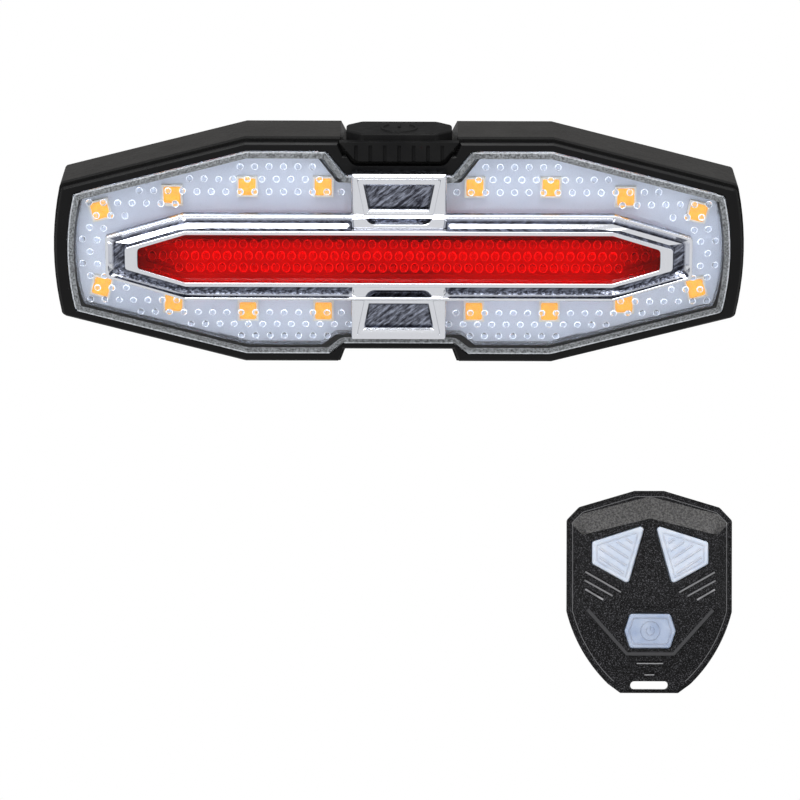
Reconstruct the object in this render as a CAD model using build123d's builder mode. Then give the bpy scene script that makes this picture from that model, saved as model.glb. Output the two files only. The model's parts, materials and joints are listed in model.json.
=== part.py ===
from build123d import *
import os
from math import acos, atan2, cos, degrees, radians, sin, sqrt, tan

# A bicycle turn signal light with its wireless remote.
# X runs to the rider's right, +Y towards the rider, +Z up.
# The origin is on the axis of the seat post that the light is strapped to, level with the light's middle.
# Lengths are in millimetres. Depths of the light are counted backwards from the front of its rim.

# Seat post and the saddle that grips it
post_radius = 13.6
grip_half_angle = 58
seat_pad_thickness = 2.0
bracket_web = 2.6
bracket_height = 26.0
bracket_flank = 2.2
hook_reach = 4.4
hook_thickness = 1.8
hook_height = 12.0

# Outline of the light, seen from the front
light_half_width = 56.6
end_bow = 1.2
end_half_height = 11.05
flat_half_width = 25.2
light_half_height = 18.8
notch_half_width = 8.8
notch_flare = 0.8
notch_depth = 2.1
outline_corner = 0.8

# Layers of the light, front to back
bezel_depth = 1.8
flange_depth = 1.2
seal_depth = 0.8
board_thickness = 1.2
ledge_depth = 1.0
sleeve_depth = 12.2
cover_depth = 2.5
housing_wall = 1.6
cover_plate = 2.0
cover_bevel = 1.9

# Rim of the bezel and the lens opening inside it
bezel_reveal = 0.35
bezel_edge = 0.3
rim_width = 1.02
rim_end_width = 1.65
top_notch_depth = 5.6
top_notch_half_width = 8.7
top_notch_flare = 3.1
low_notch_depth = 3.5
low_notch_half_width = 9.0
low_notch_flare = 2.2
opening_corner = 0.9
opening_play = 0.08

# Clear lens
lens_wall = 1.3
lens_edge_proud = 0.15
lens_rise = 1.1
lens_skin = 1.5
plateau_margin = 1.7
flange_width = 0.65

# Chrome trim: half width and half height of its ends and of its long sides, as shares of the light's
ring_outer_shares = (0.8454, 0.1809, 0.6201, 0.383)
ring_lip_shares = (0.8383, 0.1676, 0.6184, 0.3644)
groove_outer_shares = (0.818, 0.1223, 0.6148, 0.2979)
groove_inner_shares = (0.7933, 0.0984, 0.6166, 0.2606)
inner_lip_shares = (0.788, 0.0957, 0.6148, 0.25)
red_face_shares = (0.7509, 0.0872, 0.6148, 0.2128)
ring_corner = 0.6
ring_proud = 1.9
lip_proud = 2.8
groove_proud = 0.75
trim_spigot_inset = 0.8
trim_spigot_depth = 2.0
frame_half_width = 7.75
frame_top_share = 0.7431
frame_proud = 1.6
frame_bevel = 0.45
pocket_mouth_shares = (0.871, 0.6941, 0.671, 0.2926)
pocket_floor_shares = (0.7548, 0.6569, 0.6065, 0.3324)
pocket_depth = 1.5
pocket_corner = 0.5
pocket_ring_corner = 1.5

# Red lens
red_crown = 0.9
red_flange = 0.5
red_flange_depth = 1.0
red_wall = 1.2
red_play = 0.06
red_proud = 0.1

# Light-emitting chips
amber_side = 3.4
amber_height = 0.9
amber_well = 2.8
amber_well_depth = 0.35
amber_column_shares = (0.2191, 0.439, 0.6555, 0.8648)
amber_row_shares = (0.5585, 0.5585, 0.4787, 0.3431)
amber_tilts = (0, 0, 0, 14)
red_chip_length = 3.0
red_chip_width = 1.6
red_chip_height = 0.9
red_chip_count = 12

# Power button
button_travel = 0.7
pad_height = 1.05
pad_front = 1.0
pad_depth = 8.9
pad_side_gap = 0.15
pad_corner_run = 2.45
pad_edge = 0.35
pad_corner = 1.2
button_air = 0.15
flute_margin = 0.5
bowl_depth = 4.15
bowl_half_width = 7.5
bowl_flare = 2.7
bowl_corner = 1.6
skirt_gap = 0.45
skirt_back = 1.6
skirt_proud = 0.25
flute_count = 7
flute_pitch = 2.34
flute_width = 0.55
flute_depth = 0.4
stem_radius = 1.4
stem_disc_radius = 2.6
stem_disc_height = 0.7
stem_play = 0.3

# Boards and what they carry
main_board_half_width = 34.0
main_board_top_gap = 6.8
main_board_bottom_gap = 5.6
main_board_thickness = 1.0
main_board_space = 3.2
switch_size = 6.0
switch_height = 3.6
switch_thickness = 3.0
switch_drop = 0.3
plunger_radius = 1.2
plunger_length = 2.6
plunger_sunk = 0.9
plunger_play = 0.06
chip_side = 5.0
chip_height = 1.1
header_width = 10.0
header_height = 2.5
header_offset = 22.0
antenna_length = 12.0
antenna_radius = 1.2
antenna_end_gap = 3.0
battery_width = 48.0
battery_height = 17.0
battery_thickness = 3.9
battery_low = 8.4
battery_corner = 1.2
battery_pad_margin = 3.0
board_gap = 0.2

# Charging socket and its rubber cover
socket_width = 8.94
socket_thickness = 3.2
socket_length = 7.3
socket_skin = 0.35
socket_tongue_width = 6.7
socket_tongue = 0.7
port_play = 0.2
flap_thickness = 1.4
flap_half_width = 7.2
flap_depth = 7.8
flap_corner = 1.5
flap_gap = 0.12
flap_neck_half_width = 4.6
flap_neck_depth = 2.0
plug_width = 7.6
plug_thickness = 1.5
plug_length = 1.1
plug_shift = 0.2
bead_radius = 0.6
bead_play = 0.1
lug_width = 1.6
lug_ring = 0.55

# Rear cover, posts and screws
boss_radius = 2.2
boss_bore = 0.8
boss_bore_depth = 6.4
boss_end_gap = 13.6
boss_sink = 0.4
screw_radius = 0.78
screw_length = 7.0
screw_head_radius = 1.75
screw_head_height = 1.1
screw_play = 0.15
drive_share = 0.5
head_taper = 12
cover_seal_inset = 0.5
cover_seal_width = 0.55
cover_seal_depth = 0.45
board_post_radius = 1.8
board_post_columns = 31.0
board_post_rows = 10.0
bracket_screw_rows = 10.6
bracket_screw_length = 4.4
bracket_boss_radius = 1.9
bracket_boss_depth = 1.6
bracket_counterbore = 1.3
bracket_foot_half_width = 11.0
bracket_shoulder = 5.2
bracket_corner = 0.8
hook_gap = 2.4

# Remote: its place and outline
remote_x = 42.3
remote_z = -58.7
remote_lean = 18
remote_half_width = 13.9
remote_half_height = 17.0
remote_corner = 0.8
outline_shares = ((0, 1), (0.177, 1), (0.849, 0.837), (1, 0.708), (1, -0.196))
hip_shares = (0.845, -0.53)
heel_shares = ((0.5, -0.91), (0.35, -1), (0, -1))
crown_foot_shares = ((0, 0.945), (0.845, 0.765), (0.955, 0.678), (0.955, -0.203), (0.757, -0.576),
                     (0.382, -0.847))
plateau_shares = ((0, 0.729), (0.765, 0.576), (0.787, 0.542), (0.809, -0.13), (0.544, -0.379),
                  (0.272, -0.627))

# Remote: layers, counted backwards from the front of its raised face
remote_crown_depth = 1.9
remote_rim_depth = 2.45
remote_split = 4.0
remote_back = 10.3
remote_floor = 1.4
remote_wall = 1.4
remote_skin = 1.2
remote_step_back = 2.4
remote_rim_step = 0.55
remote_tab_drop = 13.7
remote_back_edge = 0.9
shell_step = 0.5
strap_slot_half_width = 3.2
strap_slot_height = 1.4
strap_slot_drop = 15.7

# Remote: ribs and grooves of the front
wedge_shares = ((0.029, 0.689), (0.309, -0.136))
wedge_height = 0.35
ridge_width = 0.8
ridge_height = 0.3
ridge_drop = 2.6
groove_shares = ((0.794, 0.209, 0.338, 0.003), (0.794, 0.121, 0.449, -0.036), (0.779, 0.034, 0.566, -0.068))
groove_width = 0.5
groove_depth = 0.35
chevron_shares = ((0.318, -0.087, 0.383, -0.208), (0.42, -0.072, 0.503, -0.2), (0.53, -0.087, 0.581, -0.162))
chevron_width = 0.45
chevron_depth = 0.18
foot_mark_shares = ((0.165, -0.688), (0.063, -0.8))
foot_mark_height = 0.35
foot_mark_depth = 0.3

# Remote: buttons
key_travel = 0.5
key_proud = 0.35
key_gap = 0.18
key_corner = 0.5
key_edge = 0.2
key_flange = 0.5
key_flange_depth = 0.6
key_stem_radius = 1.3
key_clearance = 0.1
turn_key_shares = ((0.699, 0.497), (0.066, 0.661), (0.265, 0.085), (0.699, 0.282))
mode_key_shares = ((0.241, -0.213), (0.307, -0.381), (0.241, -0.549))
turn_switch_shares = (0.39, 0.39)
mode_switch_shares = (0, -0.379)

# Remote: inside
remote_board_depth = 3.9
remote_board_thickness = 0.8
remote_board_inset = 1.9
dome_side = 4.2
dome_height = 0.9
cell_radius = 10.0
cell_thickness = 3.2
cell_rise = 1.3
cell_ring = 0.7
cell_ring_play = 0.2
cell_ring_height = 2.9
contact_thickness = 0.2
contact_length = 14.0
contact_width = 4.0
door_radius = 10.05
door_play = 0.15
door_lug_thickness = 0.6
door_lug_reach = 0.8
door_lug_angle = 24
door_notch_angle = 28
door_lug_count = 3
door_turn = 40
coin_slot_length = 9.0
coin_slot_width = 1.6
coin_slot_depth = 0.7
door_seal_radius = 0.25
door_groove = 0.45
door_edge = 0.2

# Remote: seat on the handlebar
bar_radius = 11.1
bar_half_angle = 57
bar_pad_thickness = 0.8
bar_clearance = 0.9
bar_rise = 2.3
cheek_inner = 10.65
cheek_outer = 12.35
cheek_margin = 0.6
remote_screw_spots = ((9.4, 11.8), (4.6, -11.0))
remote_boss_radius = 1.55
remote_screw_radius = 0.6
remote_screw_length = 6.5
remote_screw_head = 1.15
remote_screw_head_height = 0.8
strap_hook_half_width = 3.4
strap_hook_width = 1.2
strap_hook_gap = 1.8
strap_hook_reach = 1.5
strap_hook_rise = 12.3

overrun = 5.0
seat_gap = 0.05

# Worked out from the sizes above
body_depth = bezel_depth + sleeve_depth + cover_depth
rim_y = -(post_radius + seat_pad_thickness + bracket_web + body_depth)
corner_half_width = light_half_width - end_bow
slope_rise = (light_half_height - end_half_height) / (corner_half_width - flat_half_width)
slope_angle = atan2(light_half_height - end_half_height, corner_half_width - flat_half_width)
rim_inset = bezel_reveal + bezel_edge + rim_width
rim_end_inset = bezel_reveal + bezel_edge + rim_end_width
flange_back = bezel_depth + flange_depth
lens_back = flange_back + seal_depth
board_back = lens_back + board_thickness
ledge_back = board_back + ledge_depth
sleeve_back = bezel_depth + sleeve_depth
plateau_depth = -(lens_edge_proud + lens_rise)
main_board_front = board_back + main_board_space
main_board_back = main_board_front + main_board_thickness
cover_inside = body_depth - cover_plate
notch_floor = light_half_height - notch_depth
top_notch_floor = light_half_height - top_notch_depth
low_notch_floor = light_half_height - low_notch_depth
bowl_floor = light_half_height - bowl_depth
main_board_top = light_half_height - main_board_top_gap
main_board_bottom = light_half_height - main_board_bottom_gap
boss_columns = light_half_width - boss_end_gap
pad_half_width = notch_half_width - pad_side_gap
pad_flat_half_width = pad_half_width - pad_corner_run
frame_top = light_half_height * frame_top_share


def layer(depth):
    """Upright plane facing the viewer, at a depth behind the front of the light's rim."""
    return Plane.XZ.offset(-(rim_y + depth))


def body_face(side_inset=0, end_inset=0, notched=True):
    """Outline of the light: a long hexagon with bowed ends and a notch above and below."""
    height = light_half_height - side_inset
    flat = flat_half_width - side_inset * tan(slope_angle / 2)
    corner_x = corner_half_width - end_inset
    corner_z = end_half_height + end_inset * slope_rise - side_inset / cos(slope_angle)
    crest = light_half_width - end_inset
    with BuildSketch() as face:
        with BuildLine():
            Polyline((-corner_x, corner_z), (-flat, height), (flat, height), (corner_x, corner_z))
            ThreePointArc((corner_x, corner_z), (crest, 0), (corner_x, -corner_z))
            Polyline((corner_x, -corner_z), (flat, -height), (-flat, -height), (-corner_x, -corner_z))
            ThreePointArc((-corner_x, -corner_z), (-crest, 0), (-corner_x, corner_z))
        make_face()
        fillet(face.vertices().group_by(Axis.X)[0] + face.vertices().group_by(Axis.X)[-1], outline_corner)
        if notched:
            floor = notch_floor - side_inset
            notch_half = notch_half_width + side_inset
            add(notch_face(floor, notch_half, notch_half + notch_flare, height, 1), mode=Mode.SUBTRACT)
            add(notch_face(floor, notch_half, notch_half + notch_flare, height, -1), mode=Mode.SUBTRACT)
    return face.sketch


def notch_face(floor, floor_half_width, mouth_half_width, mouth, side):
    """Notch that opens upwards (side 1) or downwards (side -1)."""
    top = mouth + overrun
    with BuildSketch() as face:
        with BuildLine():
            Polyline((-floor_half_width, side * floor), (floor_half_width, side * floor),
                     (mouth_half_width, side * mouth), (mouth_half_width, side * top),
                     (-mouth_half_width, side * top), (-mouth_half_width, side * mouth), close=True)
        make_face()
    return face.sketch


def opening_face(margin, rounding=opening_corner):
    """Outline of the lens opening in the bezel, drawn in by a margin."""
    mouth = light_half_height - rim_inset - margin
    with BuildSketch() as face:
        add(body_face(rim_inset + margin, rim_end_inset + margin, notched=False))
        add(notch_face(top_notch_floor - margin, top_notch_half_width + margin,
                       top_notch_half_width + top_notch_flare + margin, mouth, 1), mode=Mode.SUBTRACT)
        add(notch_face(low_notch_floor - margin, low_notch_half_width + margin,
                       low_notch_half_width + low_notch_flare + margin, mouth, -1), mode=Mode.SUBTRACT)
        inner = face.vertices().filter_by(lambda v: abs(v.X) < flat_half_width * 0.6)
        fillet(inner, rounding)
    return face.sketch


def hex_face(shape, margin=0, rounding=ring_corner):
    """Long blunt-ended hexagon, from the half sizes of its ends and of its long sides."""
    end_x, end_z, bend_x, side_z = shape
    lean = atan2(side_z - end_z, end_x - bend_x)
    tip_x = end_x - margin
    tip_z = end_z + margin * tan(lean) - margin / cos(lean)
    turn_x = bend_x - margin * tan(lean / 2)
    turn_z = side_z - margin
    with BuildSketch() as face:
        with BuildLine():
            Polyline((-tip_x, -tip_z), (-turn_x, -turn_z), (turn_x, -turn_z), (tip_x, -tip_z),
                     (tip_x, tip_z), (turn_x, turn_z), (-turn_x, turn_z), (-tip_x, tip_z), close=True)
        make_face()
        fillet(face.vertices(), rounding)
    return face.sketch


def pocket_face(shape, side):
    """Tapered pocket of a chrome frame, above (side 1) or below (side -1) the red lens."""
    far_half, far_z, near_half, near_z = shape
    with BuildSketch() as face:
        with BuildLine():
            Polyline((-near_half, side * near_z), (near_half, side * near_z),
                     (far_half, side * far_z), (-far_half, side * far_z), close=True)
        make_face()
        rows = face.vertices().group_by(Axis.Y)
        far_row, near_row = (rows[-1], rows[0]) if side > 0 else (rows[0], rows[-1])
        fillet(near_row, pocket_ring_corner)
        fillet(far_row, pocket_corner)
    return face.sketch


def slope_height(x):
    """Half height of the light's outline at a place on its sloping sides."""
    return end_half_height + (corner_half_width - x) * slope_rise


def sized(shares, width=light_half_width, height=light_half_height):
    """Outline sizes from their shares of a width and a height, taken in turn."""
    return tuple(share * (width, height)[place % 2] for place, share in enumerate(shares))


ring_outer = sized(ring_outer_shares)
ring_lip = sized(ring_lip_shares)
groove_outer = sized(groove_outer_shares)
groove_inner = sized(groove_inner_shares)
inner_lip_front = sized(inner_lip_shares)
red_face = sized(red_face_shares)
pocket_mouth = sized(pocket_mouth_shares, frame_half_width)
pocket_floor = sized(pocket_floor_shares, frame_half_width)
amber_columns = [light_half_width * share for share in amber_column_shares]
amber_rows = [light_half_height * share for share in amber_row_shares]

# Places shared by more than one piece
boss_row = slope_height(boss_columns) - housing_wall / cos(slope_angle) - boss_radius + boss_sink
boss_places = [(side * boss_columns, row * boss_row) for side in (-1, 1) for row in (-1, 1)]
board_posts = [(side * board_post_columns, row * board_post_rows) for side in (-1, 1) for row in (-1, 1)]
bracket_screws_at = [(0, bracket_screw_rows), (0, -bracket_screw_rows)]
button_depth = main_board_front - switch_thickness / 2
port_depth = main_board_back + socket_thickness / 2
flap_front = port_depth - flap_depth / 2
bead_depth = flap_front + flap_depth
bead_drop = notch_floor + flap_gap + flap_thickness / 2
ring_front = plateau_depth - ring_proud
lip_front = plateau_depth - lip_proud
groove_floor = plateau_depth - groove_proud
frame_front = plateau_depth - frame_proud
spigot_back = plateau_depth + trim_spigot_depth
seat_radius = post_radius + seat_pad_thickness
back_y = rim_y + body_depth
lens_foot = (light_half_width - rim_end_inset,
             end_half_height + rim_end_inset * slope_rise - rim_inset / cos(slope_angle),
             flat_half_width - rim_inset * tan(slope_angle / 2), light_half_height - rim_inset)

# Front bezel: the narrow black rim round the lens
with BuildPart() as front_bezel:
    with BuildSketch(layer(bezel_depth)):
        add(body_face(bezel_reveal, bezel_reveal))
    extrude(amount=bezel_depth)
    chamfer(front_bezel.edges().group_by(Axis.Y)[0], bezel_edge)
    with BuildSketch(layer(bezel_depth)):
        add(opening_face(0))
    extrude(amount=bezel_depth, mode=Mode.SUBTRACT)
    with BuildSketch(layer(bezel_depth)):
        with BuildLine():
            bowl_top = light_half_height
            bowl_mouth = bowl_half_width + bowl_flare
            FilletPolyline((-bowl_mouth, bowl_top), (-bowl_half_width, bowl_floor),
                           (bowl_half_width, bowl_floor), (bowl_mouth, bowl_top), radius=bowl_corner)
            Line((bowl_mouth, bowl_top), (-bowl_mouth, bowl_top))
        make_face()
    extrude(amount=bezel_depth, mode=Mode.SUBTRACT)
front_bezel.part.label = "front_bezel"

# Main housing: a sleeve with a stepped seat for the lens, its seal and the lamp board
housing_steps = (
    (bezel_depth, lens_back, opening_face(-flange_width - opening_play)),
    (lens_back, board_back, opening_face(0)),
    (board_back, ledge_back, opening_face(lens_wall)),
    (ledge_back, sleeve_back, body_face(housing_wall, housing_wall)),
)
with BuildPart() as main_housing:
    for front, back, hollow in housing_steps:
        with BuildSketch(layer(back)):
            add(body_face())
            add(hollow, mode=Mode.SUBTRACT)
        extrude(amount=back - front)
    with BuildSketch(layer(sleeve_back)):
        with Locations(*boss_places):
            Circle(boss_radius)
    extrude(amount=sleeve_back - ledge_back)
    with BuildSketch(layer(sleeve_back)):
        with Locations(*boss_places):
            Circle(boss_bore)
    extrude(amount=boss_bore_depth, mode=Mode.SUBTRACT)
    with BuildSketch(Plane.XY.offset(notch_floor - housing_wall - overrun)):
        with Locations((0, rim_y + button_depth)):
            Circle(stem_radius + stem_play)
    extrude(amount=housing_wall + 2 * overrun, mode=Mode.SUBTRACT)
    with BuildSketch(Plane.XY.offset(-notch_floor - overrun)):
        with Locations((0, rim_y + port_depth)):
            RectangleRounded(socket_width + 2 * port_play, socket_thickness + 2 * port_play,
                             socket_thickness / 2)
    extrude(amount=housing_wall + 2 * overrun, mode=Mode.SUBTRACT)
main_housing.part.label = "main_housing"

# Rear cover: a bevelled plate with posts for the main board and bosses for the bracket
with BuildPart() as rear_cover:
    with BuildSketch(layer(sleeve_back + cover_depth - cover_bevel)):
        add(body_face(notched=False))
    extrude(amount=cover_depth - cover_bevel)
    with BuildSketch(layer(sleeve_back + cover_depth - cover_bevel)):
        add(body_face(notched=False))
    with BuildSketch(layer(body_depth)):
        add(body_face(cover_bevel, cover_bevel, notched=False))
    loft(ruled=True)
    with BuildSketch(layer(body_depth)):
        for side in (-1, 1):
            add(notch_face(notch_floor, notch_half_width, notch_half_width + notch_flare,
                           light_half_height, side))
    extrude(amount=cover_depth, mode=Mode.SUBTRACT)
    with BuildSketch(layer(cover_inside)):
        add(body_face(housing_wall + seat_gap, housing_wall + seat_gap))
        with Locations(*boss_places):
            Circle(boss_radius + seat_gap, mode=Mode.SUBTRACT)
    extrude(amount=cover_inside - sleeve_back, mode=Mode.SUBTRACT)
    with BuildSketch(layer(cover_inside)):
        with Locations(*board_posts):
            Circle(board_post_radius)
    extrude(amount=cover_inside - main_board_back)
    with BuildSketch(layer(body_depth)):
        with Locations(*boss_places):
            Circle(screw_radius + screw_play)
    extrude(amount=cover_depth, mode=Mode.SUBTRACT)
    with BuildSketch(layer(body_depth)):
        with Locations(*boss_places):
            Circle(screw_head_radius + screw_play)
    extrude(amount=screw_head_height, mode=Mode.SUBTRACT)
    with BuildSketch(layer(cover_inside)):
        with Locations(*bracket_screws_at):
            Circle(bracket_boss_radius)
    extrude(amount=bracket_boss_depth)
    with BuildSketch(layer(body_depth)):
        with Locations(*bracket_screws_at):
            Circle(screw_radius + seat_gap)
    extrude(amount=bracket_screw_length - bracket_web + bracket_counterbore + seat_gap, mode=Mode.SUBTRACT)
    with BuildSketch(layer(sleeve_back + cover_seal_depth)):
        add(body_face(cover_seal_inset, cover_seal_inset))
        add(body_face(cover_seal_inset + cover_seal_width, cover_seal_inset + cover_seal_width),
            mode=Mode.SUBTRACT)
    extrude(amount=cover_seal_depth, mode=Mode.SUBTRACT)
    for side in (-1, 1):
        lug_x = side * (flap_neck_half_width + bead_play) - (lug_width if side < 0 else 0)
        lug_radius = bead_radius + bead_play + lug_ring
        lug_y = rim_y + bead_depth
        with BuildSketch(Plane.YZ.offset(lug_x)):
            with Locations((lug_y, -bead_drop)):
                Circle(lug_radius)
            with Locations((lug_y, -(bead_drop + notch_floor - lug_ring) / 2)):
                Rectangle(2 * lug_radius, bead_drop - notch_floor + lug_ring)
            with Locations((rim_y + sleeve_back - overrun, -notch_floor - seat_gap + overrun)):
                Rectangle(2 * overrun, 2 * overrun, mode=Mode.SUBTRACT)
            with Locations((lug_y, -bead_drop)):
                Circle(bead_radius + bead_play, mode=Mode.SUBTRACT)
        extrude(amount=lug_width)
rear_cover.part.label = "rear_cover"


# Rubber cord between the sleeve and the rear cover
with BuildPart() as cover_seal:
    with BuildSketch(layer(sleeve_back + cover_seal_depth - seat_gap)):
        add(body_face(cover_seal_inset + seat_gap, cover_seal_inset + seat_gap))
        inner_inset = cover_seal_inset + cover_seal_width - seat_gap
        add(body_face(inner_inset, inner_inset), mode=Mode.SUBTRACT)
    extrude(amount=cover_seal_depth - seat_gap)
cover_seal.part.label = "cover_seal"


def screw_form(plane, place, length, head_radius, head_height, radius):
    """Pan-head screw whose head stands on a plane and whose shank points forwards."""
    with BuildPart() as form:
        with BuildSketch(plane):
            with Locations(place):
                Circle(head_radius)
        extrude(amount=-head_height, taper=head_taper)
        with BuildSketch(plane):
            with Locations(place):
                Circle(radius)
        extrude(amount=length)
        with BuildSketch(plane.offset(-head_height)):
            with Locations(place):
                RegularPolygon(head_radius * drive_share, 6)
        extrude(amount=head_height * drive_share, mode=Mode.SUBTRACT)
    return form.part


# Screws that hold the rear cover to the sleeve
with BuildPart() as cover_screws:
    for place in boss_places:
        seat = layer(body_depth - screw_head_height)
        add(screw_form(seat, place, screw_length, screw_head_radius, screw_head_height, screw_radius))
cover_screws.part.label = "cover_screws"


def lens_form(margin, setback):
    """Block with the lens's outer shape, drawn in by a margin and set back by a depth."""
    with BuildPart() as form:
        with BuildSketch(layer(setback - lens_edge_proud)):
            add(hex_face(lens_foot, margin))
        with BuildSketch(layer(setback + plateau_depth)):
            add(hex_face(ring_outer, margin - plateau_margin))
        loft(ruled=True)
        with BuildSketch(layer(lens_back)):
            add(hex_face(lens_foot, margin))
        extrude(amount=lens_back - setback + lens_edge_proud)
        with BuildSketch(layer(lens_back)):
            add(opening_face(opening_play + margin))
        extrude(amount=lens_back - plateau_depth + overrun, mode=Mode.INTERSECT)
    return form.part


def trim_face(margin, rounding=ring_corner):
    """Outline of the chrome trim: its long ring and the two frames above and below it."""
    with BuildSketch() as face:
        add(hex_face(ring_outer, margin, rounding))
        Rectangle(2 * (frame_half_width - margin), 2 * (frame_top - margin))
    return face.sketch


# Clear lens: a shallow hipped cover with a flat round the trim and a flange behind the bezel
with BuildPart() as clear_lens:
    add(lens_form(0, 0))
    with BuildSketch(layer(flange_back)):
        add(opening_face(-flange_width))
    extrude(amount=flange_depth)
    add(lens_form(lens_wall, lens_skin), mode=Mode.SUBTRACT)
    with BuildSketch(layer(lens_back)):
        add(trim_face(trim_spigot_inset - opening_play))
    extrude(amount=lens_back - plateau_depth + overrun, mode=Mode.SUBTRACT)
clear_lens.part.label = "clear_lens"

# Rubber seal behind the lens flange
with BuildPart() as lens_seal:
    with BuildSketch(layer(lens_back)):
        add(opening_face(-flange_width))
        add(opening_face(0), mode=Mode.SUBTRACT)
    extrude(amount=seal_depth)
lens_seal.part.label = "lens_seal"

# Chrome trim: a long grooved ring round the red lens and a bevelled frame above and below it
with BuildPart() as chrome_trim:
    with BuildSketch(layer(0)):
        add(hex_face(ring_outer))
    extrude(amount=-ring_front)
    with BuildSketch(layer(ring_front)):
        add(hex_face(ring_lip))
    with BuildSketch(layer(groove_floor)):
        add(hex_face(groove_outer))
    loft(ruled=True, mode=Mode.SUBTRACT)
    with BuildSketch(layer(groove_floor)):
        add(hex_face(groove_inner))
    with BuildSketch(layer(lip_front)):
        add(hex_face(inner_lip_front))
    loft(ruled=True)
    for side in (-1, 1):
        frame_middle = side * (frame_top + groove_inner[3]) / 2
        frame_span = frame_top - groove_inner[3]
        with BuildSketch(layer(0)):
            with Locations((0, frame_middle)):
                Rectangle(2 * frame_half_width, frame_span)
        extrude(amount=-frame_front - frame_bevel)
        with BuildSketch(layer(frame_front + frame_bevel)):
            with Locations((0, frame_middle)):
                Rectangle(2 * frame_half_width, frame_span)
        with BuildSketch(layer(frame_front)):
            with Locations((0, frame_middle - side * frame_bevel / 2)):
                Rectangle(2 * (frame_half_width - frame_bevel), frame_span - frame_bevel)
        loft(ruled=True)
    add(lens_form(0, 0), mode=Mode.SUBTRACT)
    with BuildSketch(layer(spigot_back)):
        add(trim_face(trim_spigot_inset))
    extrude(amount=spigot_back - plateau_depth)
    for side in (-1, 1):
        with BuildSketch(layer(frame_front)):
            add(pocket_face(pocket_mouth, side))
        with BuildSketch(layer(frame_front + pocket_depth)):
            add(pocket_face(pocket_floor, side))
        loft(ruled=True, mode=Mode.SUBTRACT)
    with BuildSketch(layer(spigot_back)):
        add(hex_face(red_face))
    extrude(amount=spigot_back - lip_front + overrun, mode=Mode.SUBTRACT)
    with BuildSketch(layer(spigot_back)):
        add(hex_face(red_face, -red_flange - red_play))
    extrude(amount=red_flange_depth, mode=Mode.SUBTRACT)
chrome_trim.part.label = "chrome_trim"

# Red lens: hollow, with a face crowned across its width and a flange behind the trim's inner lip
red_half_height = red_face[3] - red_play
crown_radius = (red_half_height ** 2 + red_crown ** 2) / (2 * red_crown)
with BuildPart() as red_lens:
    with BuildSketch(layer(spigot_back)):
        add(hex_face(red_face, red_play))
    extrude(amount=spigot_back - lip_front + red_proud)
    with Locations(Location((0, rim_y + lip_front - red_proud + crown_radius, 0), (0, 90, 0))):
        Cylinder(crown_radius, 2 * light_half_width, mode=Mode.INTERSECT)
    with BuildSketch(layer(spigot_back)):
        add(hex_face(red_face, -red_flange))
    extrude(amount=red_flange_depth - red_play)
    with BuildSketch(layer(spigot_back)):
        add(hex_face(red_face, red_wall))
    extrude(amount=spigot_back - lip_front - red_crown - red_wall, mode=Mode.SUBTRACT)
red_lens.part.label = "red_lens"

# White lamp board behind the lens
with BuildPart() as lamp_board:
    with BuildSketch(layer(board_back)):
        add(opening_face(2 * opening_play))
    extrude(amount=board_thickness)
lamp_board.part.label = "lamp_board"


def amber_chips(side):
    """The amber lamps on one side of the light: a row above the red lens and a row below it."""
    with BuildPart() as chips:
        for x, z, tilt in zip(amber_columns, amber_rows, amber_tilts):
            for row in (-1, 1):
                spot = Location((side * x, row * z, 0), (0, 0, -side * row * tilt))
                with BuildSketch(layer(lens_back)):
                    with Locations(spot):
                        Rectangle(amber_side, amber_side)
                extrude(amount=amber_height)
                with BuildSketch(layer(lens_back - amber_height + amber_well_depth)):
                    with Locations(spot):
                        Rectangle(amber_well, amber_well)
                extrude(amount=amber_well_depth, mode=Mode.SUBTRACT)
    return chips.part


amber_left = amber_chips(-1)
amber_left.label = "amber_chips_left"
amber_right = amber_chips(1)
amber_right.label = "amber_chips_right"

# Red lamps in a row behind the red lens
red_chip_pitch = 2 * (red_face[0] - red_wall) / red_chip_count
with BuildPart() as red_chips:
    with BuildSketch(layer(lens_back)):
        with GridLocations(red_chip_pitch, red_chip_width, red_chip_count, 1):
            Rectangle(red_chip_length, red_chip_width)
    extrude(amount=red_chip_height)
red_chips.part.label = "red_chips"

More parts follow.
